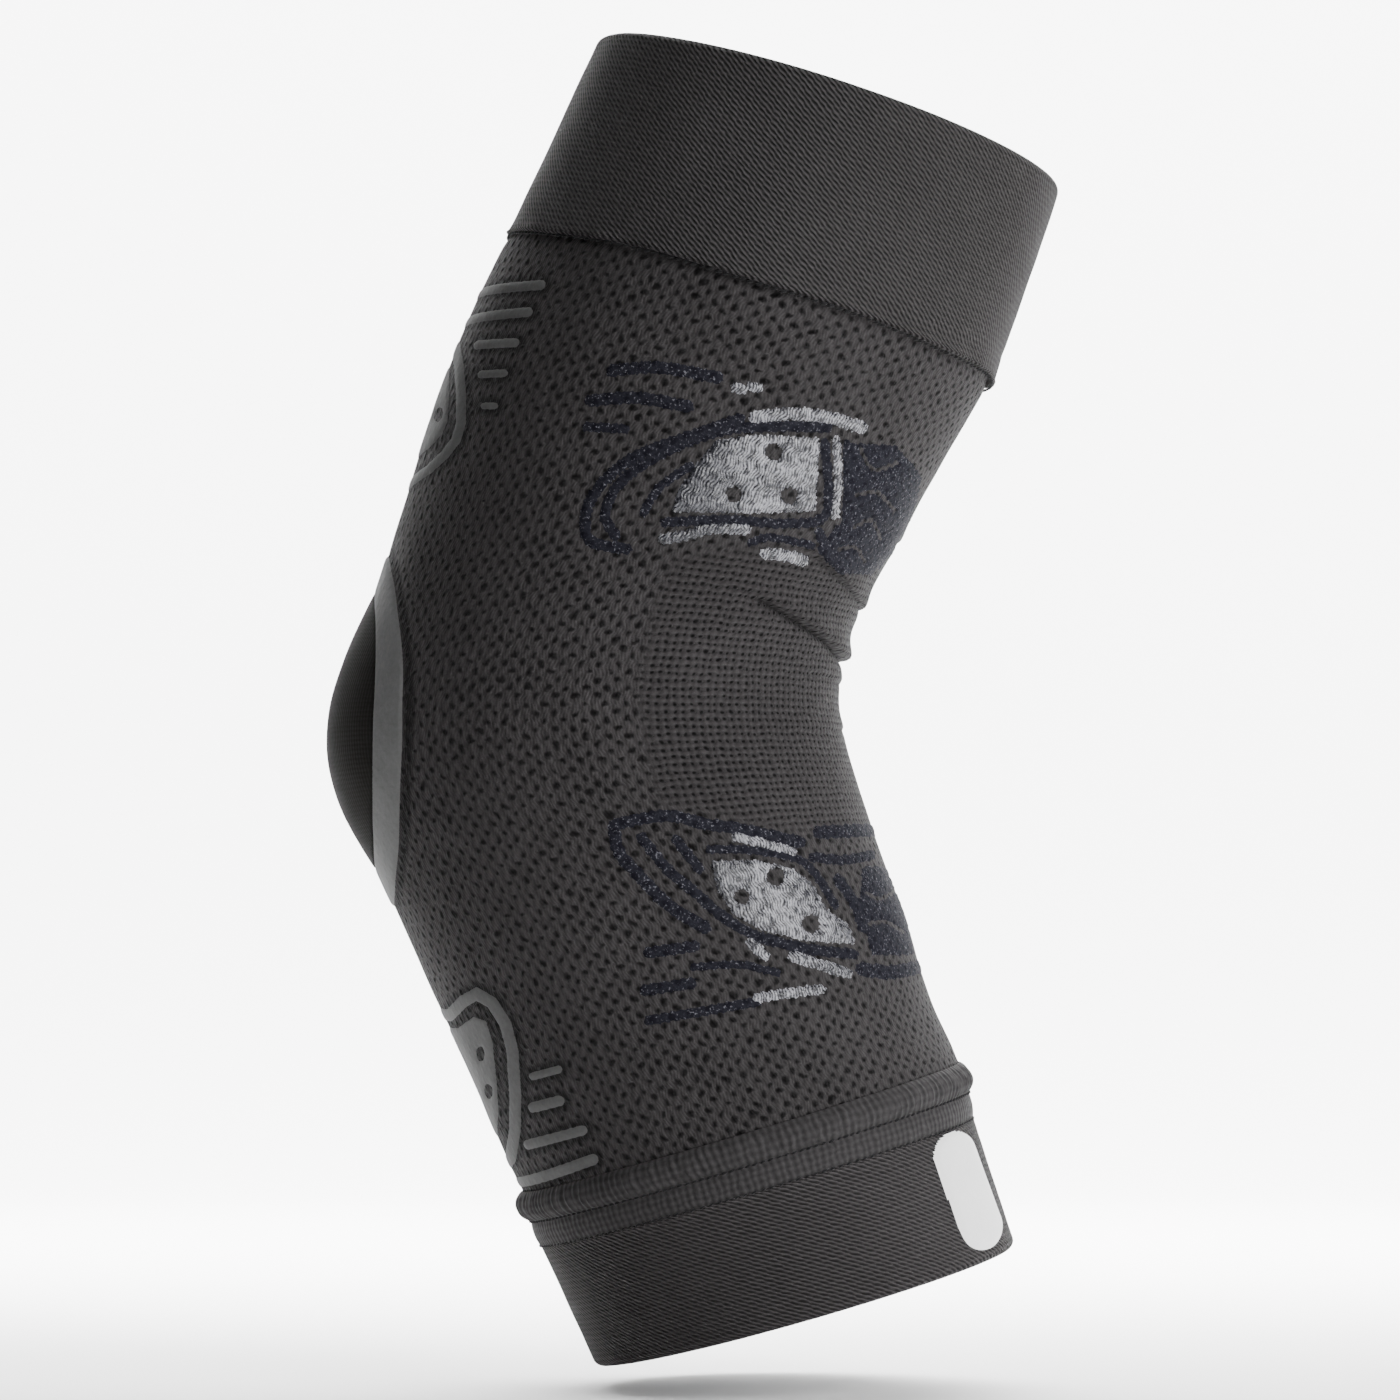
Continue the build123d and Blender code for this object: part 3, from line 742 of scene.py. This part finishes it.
def fabric(shader, sheen=0.02):
    shader.inputs["Sheen Weight"].default_value = sheen
    shader.inputs["Sheen Roughness"].default_value = 0.5
    shader.inputs["Specular IOR Level"].default_value = 0.10
    shader.inputs["Roughness"].default_value = 0.88


def painted(name):
    """A value stored on the mesh's points."""
    node = Sock.tree.nodes.new("ShaderNodeAttribute")
    node.attribute_name = name
    return Sock(node.outputs["Fac"])


def net_knit_material():
    """Net knit: a staggered lattice of open cells between vertical loops."""
    mat, shader = new_material("net_knit")
    u, v = knit_uv()
    wob_a, wob_b = cloud(420, 1.0), cloud(520, 1.0)
    uu = u + (wob_a - 0.5) * 0.6
    vv = v + (wob_b - 0.5) * 0.6
    size = cloud(240, 1.0)
    open_r = 0.26 + size * 0.46
    hole = lattice(uu, vv, 3.4, 3.0)
    deep = step(hole, open_r - 0.34, open_r + 0.34, 1.0, 0.0)
    us = u + (wob_a - 0.5) * 0.22
    turn = sin((v + (wob_b - 0.5) * 0.3) * (2 * math.pi)) * 0.15
    wale = sin((us * 2.0 + turn) * (2 * math.pi)) * 0.5 + 0.5
    wale2 = sin((us * 6.0 - turn * 2.0) * (2 * math.pi)) * 0.5 + 0.5
    fine = cloud(2600, 2.0, 0.6)
    yarn = wale * 0.45 + wale2 * 0.25 + fine * 0.5
    rib = painted("rib")
    # Finer, closer ribs in the crook.
    ru = u * 2.25 + (wob_a - 0.5) * 0.9
    rv = v * 2.0 + (wob_b - 0.5) * 0.7
    dot = square(ru, rv, 1.3, 1.6)
    row_line = step(Sock.math("ABSOLUTE", fract(rv + 0.5) - 0.5), 0.10, 0.34, 1.0, 0.0)
    rib_deep = most(step(dot, 0.10, 0.56, 1.0, 0.0), row_line * 0.28)
    rib_yarn = (sin(ru * (2 * math.pi) + math.pi) * 0.5 + 0.5) * 0.4 + (
        sin(rv * (2 * math.pi) + math.pi) * 0.5 + 0.5
    ) * 0.35 + fine * 0.4
    # Painted shade: deep_all also darkens the base colour below, in the holes and rib hollows.
    deep_all = deep * (1.0 - rib) + rib_deep * rib
    yarn_all = yarn * (1.0 - rib) + rib_yarn * rib
    height = yarn_all * 0.45 - deep_all
    relief(shader, height, 0.55)
    tone = cloud(34, 3.0, 0.6)
    light = mixed((0.0150, 0.0138, 0.0141), (0.0435, 0.0408, 0.0418), yarn_all * 0.75 + (tone - 0.5) * 0.55)
    # Painted shade: the stored line beside the grey ring, the rear prints and in the creases darkens the
    # base colour too.
    dark = most(deep_all * 0.9, painted("border") * 0.75)
    link(mixed(light, (0.0035, 0.0034, 0.0036), dark), shader.inputs["Base Color"])
    fabric(shader)
    return mat


CUFF_DARK, CUFF_LIGHT = (0.021, 0.0193, 0.0197), (0.056, 0.0525, 0.0535)


def cuff_material(name, slant):
    """Dense double knit whose stitches line up on a diagonal."""
    mat, shader = new_material(name)
    u, v = knit_uv()
    wob_a, wob_b = cloud(480, 1.0), cloud(560, 1.0)
    uu = u + v * slant + (wob_a - 0.5) * 0.6
    vv = v + (wob_b - 0.5) * 0.6
    dot = square(uu, vv, 1.0, 0.85)
    deep = step(dot, 0.08, 0.50, 1.0, 0.0)
    fine = cloud(2600, 2.0, 0.6)
    line = sin(uu * (2 * math.pi) - math.pi / 2) * 0.5 + 0.5
    yarn = line * 0.7 + fine * 0.5
    relief(shader, yarn * 0.7 - deep * 0.9, 0.34)
    tone = cloud(30, 3.0, 0.6)
    light = mixed(CUFF_DARK, CUFF_LIGHT, yarn * 0.8 + (tone - 0.5) * 0.6)
    # Painted shade: the base colour darkens in the stitch hollows.
    link(mixed(light, (0.004, 0.0038, 0.004), deep * 0.62), shader.inputs["Base Color"])
    fabric(shader)
    return mat


def band_material():
    mat, shader = new_material("rib_knit")
    u, v = knit_uv()
    wob = cloud(500, 1.0)
    line = sin((u + (wob - 0.5) * 0.8) * (2 * math.pi)) * 0.5 + 0.5
    course = sin((v + (wob - 0.5) * 0.8) * (2 * math.pi)) * 0.5 + 0.5
    fine = cloud(2600, 2.0, 0.6)
    yarn = line * 0.5 + course * 0.3 + fine * 0.4
    relief(shader, yarn, 0.22)
    link(mixed((0.014, 0.0132, 0.0136), (0.042, 0.040, 0.041), yarn * 0.8), shader.inputs["Base Color"])
    fabric(shader)
    return mat


def cap_material():
    """Close, smooth plain knit."""
    mat, shader = new_material("cap_knit")
    u, v = knit_uv()
    line = sin(u * (2 * math.pi * 4)) * 0.5 + 0.5
    course = sin(v * (2 * math.pi * 4)) * 0.5 + 0.5
    fine = cloud(2200, 2.0, 0.6)
    yarn = line * 0.4 + course * 0.3 + fine * 0.5
    relief(shader, yarn, 0.10)
    tone = cloud(60, 2.0, 0.6)
    link(
        mixed((0.0052, 0.0047, 0.0043), (0.0118, 0.0107, 0.0100), yarn * 0.6 + (tone - 0.5) * 0.4),
        shader.inputs["Base Color"],
    )
    fabric(shader, 0.0)
    return mat


def gloss_material():
    """Dark silicone, the lit copy of the print: the bright flecks in its base colour are a painted
    highlight, the key light's reflection broken up by the knit.
    """
    mat, shader = new_material("gloss_print")
    u, v = knit_uv()
    wob_a, wob_b = cloud(420, 1.0), cloud(520, 1.0)
    uu = u + (wob_a - 0.5) * 0.42
    vv = v + (wob_b - 0.5) * 0.42
    hole = step(lattice(uu, vv, 3.4, 3.0), 0.1, 0.9, 1.0, 0.0)
    strokes = sin((uu * 6.0 + sin(vv * (2 * math.pi)) * 0.3) * (2 * math.pi)) * 0.5 + 0.5
    fine = cloud(1500, 2.0, 0.65)
    coarse = cloud(700, 2.0, 0.6)
    relief(shader, strokes * 0.3 + fine * 0.8 + coarse * 0.9 - hole * 0.6, 0.22)
    patchy = cloud(260, 1.0)
    painted_glint = step(fine * 0.36 + coarse * 0.30 + strokes * 0.16 + patchy * 0.28 - hole * 0.10, 0.46, 0.65)
    # Painted highlight: the flecks thin out towards the print's ends, where the key light's reflection falls
    # off.
    painted_glint = painted_glint * (1.0 - painted("worn"))
    # Painted highlight: the bright flecks in the base colour stand for the key light's reflection.
    link(mixed((0.011, 0.0113, 0.0155), (0.225, 0.225, 0.246), painted_glint), shader.inputs["Base Color"])
    link(step(fine, 0.3, 0.7, 0.20, 0.34), shader.inputs["Roughness"])
    shader.inputs["Specular IOR Level"].default_value = 0.55
    return mat


def shaded_print_material():
    """The same silicone, lower in the knit, as the shaded copy: near black, with a few painted glint flecks
    and painted shade in the knit holes.
    """
    mat, shader = new_material("sunk_print")
    u, v = knit_uv()
    wob = cloud(500, 1.0)
    hole = step(lattice(u, v + (wob - 0.5) * 0.4, 3.4, 3.0), 0.2, 0.9, 1.0, 0.0)
    fine = cloud(2100, 2.0, 0.65)
    relief(shader, fine * 0.9 - hole * 0.5, 0.22)
    painted_glint = step(fine, 0.585, 0.70)
    # Painted shade darkens the knit holes; the flecks below are painted glints.
    base = mixed((0.0065, 0.0065, 0.0098), (0.017, 0.0172, 0.0225), fine * 1.6 - 0.3 - hole * 0.7)
    link(mixed(base, (0.085, 0.085, 0.098), painted_glint), shader.inputs["Base Color"])
    shader.inputs["Roughness"].default_value = 0.7
    shader.inputs["Specular IOR Level"].default_value = 0.03
    return mat


def matte_material(name, low, high):
    mat, shader = new_material(name)
    u, v = knit_uv()
    hole = step(lattice(u, v, 3.4, 3.0), 0.1, 0.9, 1.0, 0.0)
    fine = cloud(1500, 2.0, 0.65)
    relief(shader, fine * 0.8 - hole * 0.5, 0.12)
    tone = cloud(120, 2.0, 0.6)
    link(mixed((low, low, low), (high, high, high), fine * 0.5 + tone * 0.5), shader.inputs["Base Color"])
    shader.inputs["Roughness"].default_value = 0.75
    shader.inputs["Specular IOR Level"].default_value = 0.12
    return mat


def thread_material():
    mat, shader = new_material("seam_thread")
    fine = cloud(3000, 2.0, 0.6)
    relief(shader, fine, 0.08)
    link(mixed((0.006, 0.006, 0.0065), (0.016, 0.016, 0.017), fine), shader.inputs["Base Color"])
    fabric(shader, 0.05)
    return mat


def elastic_material():
    mat, shader = new_material("elastic")
    fine = cloud(1800, 2.0, 0.6)
    relief(shader, fine, 0.1)
    link(mixed((0.02, 0.02, 0.021), (0.04, 0.04, 0.042), fine), shader.inputs["Base Color"])
    fabric(shader, 0.05)
    return mat


def white_material():
    mat, shader = new_material("white_patch")
    fine = cloud(1500, 2.0, 0.6)
    relief(shader, fine, 0.10)
    tone = cloud(160, 2.0, 0.6)
    link(mixed((0.74, 0.74, 0.74), (0.86, 0.86, 0.86), tone * 0.6 + fine * 0.4), shader.inputs["Base Color"])
    shader.inputs["Roughness"].default_value = 0.6
    return mat


NET = net_knit_material()
UPPER_CUFF_MAT = cuff_material("cuff_knit", 1.2)
LOWER_CUFF_MAT = cuff_material("lower_cuff_knit", -1.2)
BAND = band_material()
CAP = cap_material()
GLOSS = gloss_material()
SHADED_PRINT = shaded_print_material()
MATTE = matte_material("matte_print", 0.062, 0.120)
REAR = matte_material("rear_print", 0.038, 0.082)
THREAD = thread_material()
ELASTIC = elastic_material()
WHITE = white_material()


def finish_piece(obj, material, slot, body, *nodes):
    obj.data.materials.append(material)
    if body == "both":
        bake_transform(obj)
    else:
        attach(obj, body)
    if nodes:
        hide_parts(*nodes)
    return obj


# ------------------------------------------------------------------ the knit
# Outline of the crook's rib panel, in millimetres from the pivot.
CROOK_PANEL = (
    (10.6, 2.0), (13.4, 16.0), (17.0, 24.0), (30.0, 26.5),
    (90, 30), (90, -26), (34, -22), (14.0, -17.5),
)


def knit_body():
    """The knit from under the upper cuff to the gathered roll, both of its faces."""
    rows, cols = 260 // COARSE, 400 // COARSE
    t = np.linspace(-0.008, 1.0, rows)[:, None] + np.zeros((1, cols))
    a = np.linspace(0, 2 * math.pi, cols, endpoint=False)[None, :] + np.zeros((rows, 1))
    outer = knit_surface(t, a)
    inner = knit_surface(t[::-1], a[::-1], -1.1 * MM)
    verts = np.concatenate([outer, inner]).reshape(-1, 3)
    faces = closed_faces(2 * rows, cols)
    obj = mesh_from("knit_body", verts, faces)
    layer = obj.data.uv_layers.new(name="knit")
    loops = np.empty(len(obj.data.loops), int)
    obj.data.loops.foreach_get("vertex_index", loops)
    col = loops % cols
    quad = col.reshape(-1, 4)
    wraps = np.repeat((quad.min(axis=1) == 0) & (quad.max(axis=1) == cols - 1), 4) & (col == 0)
    tt = np.concatenate([t[:, 0], t[::-1, 0]])
    u = np.where(wraps, 1.0, col / cols) * CELLS
    v = tt[loops // cols] * ROWS
    layer.data.foreach_set("uv", np.stack([u, v], -1).astype(np.float32).ravel())
    # Where the crook's finer rib takes over from the net.
    q = (verts - PIVOT) / MM
    d = polygon(q[:, (0, 2)], CROOK_PANEL)
    rib = 1 - np.clip((d + 1.2) / 2.4, 0, 1)
    attribute = obj.data.attributes.new("rib", "FLOAT", "POINT")
    attribute.data.foreach_set("value", rib.astype(np.float32))
    # Painted shade: dark lines beside the grey ring and the rear prints, and painted shadows in the creases.
    r = np.where(q[:, 0] < 0, tip_radius(verts), 90)
    line = np.clip((1.3 - np.abs(r - RING_OUTER - 1.3)) / 0.7, 0, 1)
    behind = q[:, 0] < 8
    for shape in (upper_rear, forearm_rear):
        gap = np.where(behind, shape(verts), 9)
        line = np.maximum(line, np.clip((1.5 - gap) / 0.9, 0, 1))
    for k, strength in ((0, 0.85), (1, 0.55), (2, 0.3)):
        d = bar_line(q[:, (0, 2)] + (0.0, 0.35), CREASES[k][0][1:], 0.0)
        line = np.maximum(line, strength * np.clip(1.3 - d / 0.75, 0, 1))
    attribute = obj.data.attributes.new("border", "FLOAT", "POINT")
    attribute.data.foreach_set("value", line.astype(np.float32))
    return finish_piece(
        obj, NET, "net_knit", "both",
        "upper_knit_tube", "elbow_knit", "crook_rib_panel", "forearm_knit_tube",
    )


knit = knit_body()


# ------------------------------------------------------------------ the cuffs
def fold_profile(height, edge, layer=1.1, gap=1.0):
    """A strip folded double: the fold is at t = 0 and both its ends are at t = 1.

    Offsets are measured inward from the outer face, all lengths in millimetres."""
    half = layer + gap / 2
    bend = half / height
    pocket = gap / 2 / height
    out = [(t, 0.0) for t in np.linspace(0.985, bend * 1.15, 62)]
    turn = np.linspace(0.15, math.pi - 0.15, 13)
    out += [(bend * (1 - math.sin(k)), half * (math.cos(k) - 1)) for k in turn]
    out += [(t, -2 * half) for t in np.linspace(bend * 1.15, 0.95, 40)]
    out += [(0.96, -2 * half + 0.12), (0.965, -2 * half + layer / 2), (0.96, -2 * half + layer - 0.12)]
    out += [(t, -layer - gap) for t in np.linspace(0.95, bend * 1.1, 24)]
    out += [(bend * 1.02 - pocket * math.sin(k), -half - gap / 2 * math.cos(k)) for k in (0.6, 1.57, 2.54)]
    out += [(t, -layer) for t in np.linspace(bend * 1.1, 0.985, 24)]
    out += [(0.999, -layer * 0.86), (1.004, -layer / 2), (1.001, -0.12), (0.995, edge)]
    return out


def cuff_lift(surface, seed, edge):
    wave = noise_sheet(surface, (-0.1, 1.1), 0.020, seed)
    ripple = noise_sheet(surface, (-0.1, 1.1), 0.006, seed + 1, (120, 260))

    def lift(t, a, level):
        outside = np.clip(1 + level / 1.0, 0, 1)
        turn = (a + math.pi) % (2 * math.pi) - math.pi
        fold = bump((turn + 0.85) / 0.75) * bump((t - 0.90 + 0.05 * np.sin(3 * turn + 1.0)) / 0.035)
        rim = edge * (ripple(t, a) * bump((t - 1) / 0.04) - 0.9 * fold * outside)
        return (wave(t, a) * 0.30 + ripple(t, a) * 0.09 * outside + rim) * MM

    return lift


upper_cuff_straight = straight_base(UPPER_RIM, UPPER_CUFF_END, 44.4, 45.2)


def upper_cuff_base(t, a):
    """The cuff, with the slow wave of its well-used lower edge."""
    wave = np.sin(2 * a + 0.7) + 0.6 * np.sin(3 * a - 1.1) + 0.35 * np.sin(7 * a + 0.3)
    return upper_cuff_straight(t + (0.006 + 0.012 * wave) * np.clip(t, 0, 1.05) ** 3, a)


upper_cuff = swept(
    "upper_cuff_cloth", upper_cuff_base, fold_profile(38.0, 0.2), 420 // COARSE,
    212, 38, cuff_lift(upper_cuff_base, 5, 0.5),
)
finish_piece(upper_cuff, UPPER_CUFF_MAT, "cuff_knit", "upper_arm", "upper_cuff")

lower_cuff_base = straight_base(LOWER_RIM, BAND_END, 39.6, 40.2)
lower_cuff = swept(
    "lower_cuff_cloth", lower_cuff_base, fold_profile(24.2, 0.0), 400 // COARSE,
    188, 24, cuff_lift(lower_cuff_base, 8, 0.1),
)
finish_piece(lower_cuff, LOWER_CUFF_MAT, "cuff_knit", "forearm", "lower_cuff")


def elastic_band(name, surface, start, end, body, node):
    """A flat ribbed band lying in the pocket of a folded cuff."""
    face = [(t, -1.25 - 0.06 * math.cos(k * math.pi)) for k, t in enumerate(np.linspace(end, start, 24))]
    back = [(t, -1.95) for t in np.linspace(start, end, 12)]
    obj = swept(name, surface, face + back, 240 // COARSE, 200, 20)
    return finish_piece(obj, ELASTIC, "elastic", body, node)


upper_elastic = elastic_band(
    "upper_cuff_band", upper_cuff_base, 0.10, 0.90, "upper_arm", "upper_cuff_elastic"
)
lower_elastic = elastic_band(
    "lower_cuff_band", lower_cuff_base, 0.15, 0.86, "forearm", "lower_cuff_elastic"
)


# ------------------------------------------------- gathered roll, band and seams
def ring_profile(height, depth, n=18):
    """A rounded ring standing height out and reaching depth in."""
    out = [(t, height * math.sin(math.pi * t) ** 0.8) for t in np.linspace(0.0, 1.0, n)]
    back = [(t, -depth) for t in np.linspace(0.97, 0.03, n // 2)]
    return out + back


roll_base = straight_base(ROLL_TOP, ROLL_END, 40.6, 40.4)
roll_wave = noise_sheet(roll_base, (-0.5, 1.5), 0.010, 11, (40, 400))
roll_fine = noise_sheet(roll_base, (-0.5, 1.5), 0.0032, 12, (40, 700))


def roll_lift(t, a, level):
    up = np.clip(level / 1.0, 0, 1)
    pleat = np.sin(a * 152 + roll_wave(t, a) * 7) * (0.6 + 0.4 * roll_fine(t, a))
    return (roll_wave(t, a) * 0.35 + roll_fine(t, a) * 0.2 + pleat * 0.22) * up * MM


roll = swept("gather_roll_cloth", roll_base, ring_profile(1.5, 1.1, 22), 640 // COARSE, 200, 4, roll_lift)
finish_piece(roll, BAND, "rib_knit", "forearm", "lower_gather_roll")

band_base = straight_base(ROLL_END, BAND_END, 40.3, 40.2)
band = swept("plain_band_cloth", band_base, ring_profile(0.35, 1.1, 14), 400 // COARSE, 200, 4)
finish_piece(band, BAND, "rib_knit", "forearm", "lower_plain_band")


def stitches(name, surface, t, lift, pitch, length, thick, lean, body, node, seed):
    """A row of separate thread stitches round the sleeve, sizes in mm, lean in radians."""
    ring = surface(np.full(720, t), np.linspace(0, 2 * math.pi, 720, endpoint=False))
    gaps = np.linalg.norm(np.roll(ring, -1, axis=0) - ring, axis=1)
    count = int(gaps.sum() / (pitch * MM))
    run = np.linspace(0, gaps.sum(), count, endpoint=False)
    where = np.interp(run, np.r_[0, np.cumsum(gaps)], np.linspace(0, 2 * math.pi, 721))
    rng = np.random.default_rng(seed)
    verts, faces = [], []
    seg_n, side_n = 6, 6
    for a in where:
        a = a + rng.normal(0, 0.002)
        here = surface(np.array([t]), np.array([a]))[0]
        n = normals(surface, np.array([t]), np.array([a]))[0]
        n = n if n @ (here - surface(np.array([t]), np.array([a + math.pi]))[0]) > 0 else -n
        run = surface(np.array([t]), np.array([a + 0.01]))[0] - here
        run /= np.linalg.norm(run)
        down = np.cross(n, run)
        d = run * math.cos(lean) + down * math.sin(lean)
        d = d / np.linalg.norm(d)
        w = np.cross(n, d)
        size = rng.uniform(0.8, 1.15)
        start = len(verts)
        for k in range(seg_n + 1):
            f = k / seg_n * 2 - 1
            r = thick * math.sqrt(max(0.02, 1 - f * f * 0.96)) * size
            mid = here + n * ((lift + 0.22 * (1 - f * f)) * MM) + d * (f * length / 2 * size * MM)
            for j in range(side_n):
                b = 2 * math.pi * j / side_n
                verts.append(mid + (w * math.cos(b) + n * math.sin(b)) * r * MM)
        for k in range(seg_n):
            for j in range(side_n):
                j2 = (j + 1) % side_n
                here_row, next_row = start + k * side_n, start + (k + 1) * side_n
                faces.append([here_row + j, here_row + j2, next_row + j2, next_row + j])
    obj = mesh_from(name, np.array(verts), np.array(faces))
    return finish_piece(obj, THREAD, "seam_thread", body, node)


stitches(
    "upper_cuff_stitches", upper_cuff_base, 1.012, lift=-0.45, pitch=1.5, length=1.25,
    thick=0.24, lean=0.35, body="upper_arm", node="upper_cuff_seam", seed=3,
)
stitches(
    "gather_stitches", band_base, 0.0, lift=-0.05, pitch=1.4, length=1.2,
    thick=0.26, lean=0.25, body="forearm", node="gather_seam", seed=4,
)
stitches(
    "lower_cuff_stitches", band_base, 1.0, lift=-0.12, pitch=1.6, length=1.2,
    thick=0.20, lean=0.3, body="forearm", node="lower_cuff_seam", seed=5,
)


# ------------------------------------------------------- elbow cap and its ring
TIP_SPAN = (0.24, 0.76)
TIP_ANGLES = (math.pi - 1.15, math.pi + 1.15)
cap = patch(
    "elbow_cap_cloth", knit_surface, TIP_SPAN, TIP_ANGLES, 0.45,
    lambda p: np.where(p[..., 0] < PIVOT[0], tip_radius(p) - RING_INNER - 0.3, 9.0),
    lambda d: 0.35 + 2.1 * (1 - np.clip(1 + d / 24.0, 0, 1) ** 2) ** 0.9, sink=0.3,
)
finish_piece(cap, CAP, "cap_knit", "both", "elbow_cap", "elbow_gel_pad")
ring = patch(
    "elbow_ring_print", knit_surface, (0.18, 0.84), TIP_ANGLES, 0.35,
    lambda p: np.where(
        p[..., 0] < PIVOT[0],
        np.abs(tip_radius(p) - (RING_INNER + RING_OUTER) / 2) - (RING_OUTER - RING_INNER) / 2,
        9.0,
    ),
    raised(0.42, 0.5),
)
finish_piece(ring, MATTE, "matte_print", "both", "elbow_ring")

# ---------------------------------------------------------------- the prints
NEAR = (-math.pi * 0.98, -math.pi * 0.02)
FAR = (math.pi * 0.02, math.pi * 0.98)
SIDE_PRINTS = (
    ("upper_side_print_", (0.06, 0.50), upper_dark, upper_bright, 30.0, 52.0),
    ("forearm_side_print_", (0.52, 0.94), forearm_dark, forearm_bright, 31.0, 43.0),
)


def fade_painted_glint(obj, left, right):
    """Fade a bright print's painted highlight flecks out towards its left end and past its right one."""
    co = np.empty(len(obj.data.vertices) * 3)
    obj.data.vertices.foreach_get("co", co)
    x = side(co.reshape(-1, 3))[:, 0]
    value = np.clip((left - x) / 10.0, 0, 0.7) + np.clip((x - right) / 8.0, 0, 0.55)
    obj.data.attributes.new("worn", "FLOAT", "POINT").data.foreach_set("value", value.astype(np.float32))


# Each side print is one silicone drawn as two copies: a lit copy with painted highlight flecks, and a
# near-black shaded copy for the marks out of the key light's reflection.
for where, angles in (("near", NEAR), ("far", FAR)):
    for stem, span, dark, bright, left, right in SIDE_PRINTS:
        under = patch(
            stem + where + "_sunk", knit_surface, span, angles, 0.34, dark, raised(0.26, 0.7)
        )
        finish_piece(under, SHADED_PRINT, "gloss_print", "both")
        over = patch(
            stem + where + "_relief", knit_surface, span, angles, 0.32, bright,
            raised(0.46, 0.6), extra=0.06,
        )
        fade_painted_glint(over, left, right)
        finish_piece(over, GLOSS, "gloss_print", "both", stem + where)

BACK = (math.pi - 1.25, math.pi + 1.25)
for node, span, shape in (
    ("upper_rear_print", (0.02, 0.34), upper_rear),
    ("forearm_rear_print", (0.66, 0.995), forearm_rear),
):
    rear = patch(node + "_relief", knit_surface, span, BACK, 0.35, shape, raised(0.2, 0.4))
    finish_piece(rear, REAR, "matte_print", "both", node)


def cuff_patch_shape(points):
    p = side(points)
    d = bar_line(p, ((66.2, -79.6), (71.0, -92.4)), 3.6)
    return np.where(points[..., 1] < 0, d, 9.0)


badge = patch(
    "cuff_patch_print", lower_cuff_base, (0.02, 1.0), (-1.3, -0.05), 0.3, cuff_patch_shape,
    raised(0.35, 0.4), extra=0.28,
)
finish_piece(badge, WHITE, "white_patch", "forearm", "cuff_patch")

# -------------------------------------------------------------- room and light
low = min(v[2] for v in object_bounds())
floor_z = low - 0.004


def backdrop():
    """A pale floor that curves up into a wall behind."""
    profile = [(-2.4, floor_z), (0.75, floor_z)]
    for k in np.linspace(0, math.pi / 2, 16)[1:]:
        profile.append((0.75 + 0.5 * math.sin(k), floor_z + 0.5 * (1 - math.cos(k))))
    profile.append((1.25, floor_z + 3.0))
    verts, faces = [], []
    for y, z in profile:
        verts += [(-0.9, y, z), (0.9, y, z)]
    for k in range(len(profile) - 1):
        faces.append([2 * k, 2 * k + 1, 2 * k + 3, 2 * k + 2])
    obj = mesh_from("backdrop", np.array(verts), np.array(faces))
    mat, shader = new_material("backdrop")
    shader.inputs["Base Color"].default_value = (0.9, 0.9, 0.9, 1)
    shader.inputs["Roughness"].default_value = 0.9
    obj.data.materials.append(mat)
    obj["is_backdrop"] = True
    return obj


backdrop()

middle = Vector((PIVOT[0] + 0.0211, 0.0, PIVOT[2] + 0.0016))  # of the view


def soft_box(name, place, facing, size, power, spread=180):
    """A rectangular light at place, shining away from facing."""
    light = bpy.data.lights.new(name, "AREA")
    light.shape = "RECTANGLE"
    light.size, light.size_y = size
    light.energy = power
    light.spread = math.radians(spread)
    obj = bpy.data.objects.new(name, light)
    bpy.context.scene.collection.objects.link(obj)
    obj.location = place
    obj.rotation_euler = facing.to_track_quat("Z", "Y").to_euler()
    obj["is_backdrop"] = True


def aimed_at_object(name, azimuth, elevation, distance, size, power):
    """A soft box for the object. Azimuth 0 is the camera's side, positive to the right."""
    a, e = math.radians(azimuth), math.radians(elevation)
    direction = Vector((math.sin(a) * math.cos(e), -math.cos(a) * math.cos(e), math.sin(e)))
    soft_box(name, middle + direction * distance, direction, size, power)


def aimed_at_backdrop(name, place, aim, size, power, spread):
    """A soft box for the wall or the floor behind the object."""
    soft_box(name, Vector(place), Vector(place) - Vector(aim), size, power, spread)


aimed_at_object("key", 46, 10, 1.3, (0.8, 1.5), 45)
aimed_at_object("top", 40, 66, 1.4, (0.8, 0.8), 3.5)
for x in (-0.62, 0.62):
    aimed_at_backdrop(
        "wall_light", (x, 0.35, floor_z + 0.75), (x * 0.2, 1.25, floor_z + 0.45), (0.5, 1.0), 37, 140
    )
aimed_at_backdrop(
    "floor_light", (0.0, 0.42, floor_z + 0.56), (0.0, 0.42, floor_z), (0.9, 0.5), 15, 110
)

world = bpy.data.worlds.new("studio")
world.use_nodes = True
world.node_tree.nodes["Background"].inputs[0].default_value = (1, 1, 1, 1)
world.node_tree.nodes["Background"].inputs[1].default_value = 0.11
bpy.context.scene.world = world

# -------------------------------------------------------------------- camera
CAMERA_DISTANCE = 1.03
camera = bpy.data.objects.new("camera", bpy.data.cameras.new("camera"))
bpy.context.scene.collection.objects.link(camera)
camera.data.sensor_width = 36
camera.data.lens = 146.6
camera.data.clip_end = 20
tilt = math.radians(-2.4)  # the camera looks slightly upward
away = Vector((0, -math.cos(tilt), math.sin(tilt)))
camera.location = middle + away * CAMERA_DISTANCE
camera.rotation_euler = away.to_track_quat("Z", "Y").to_euler()
bpy.context.scene.camera = camera
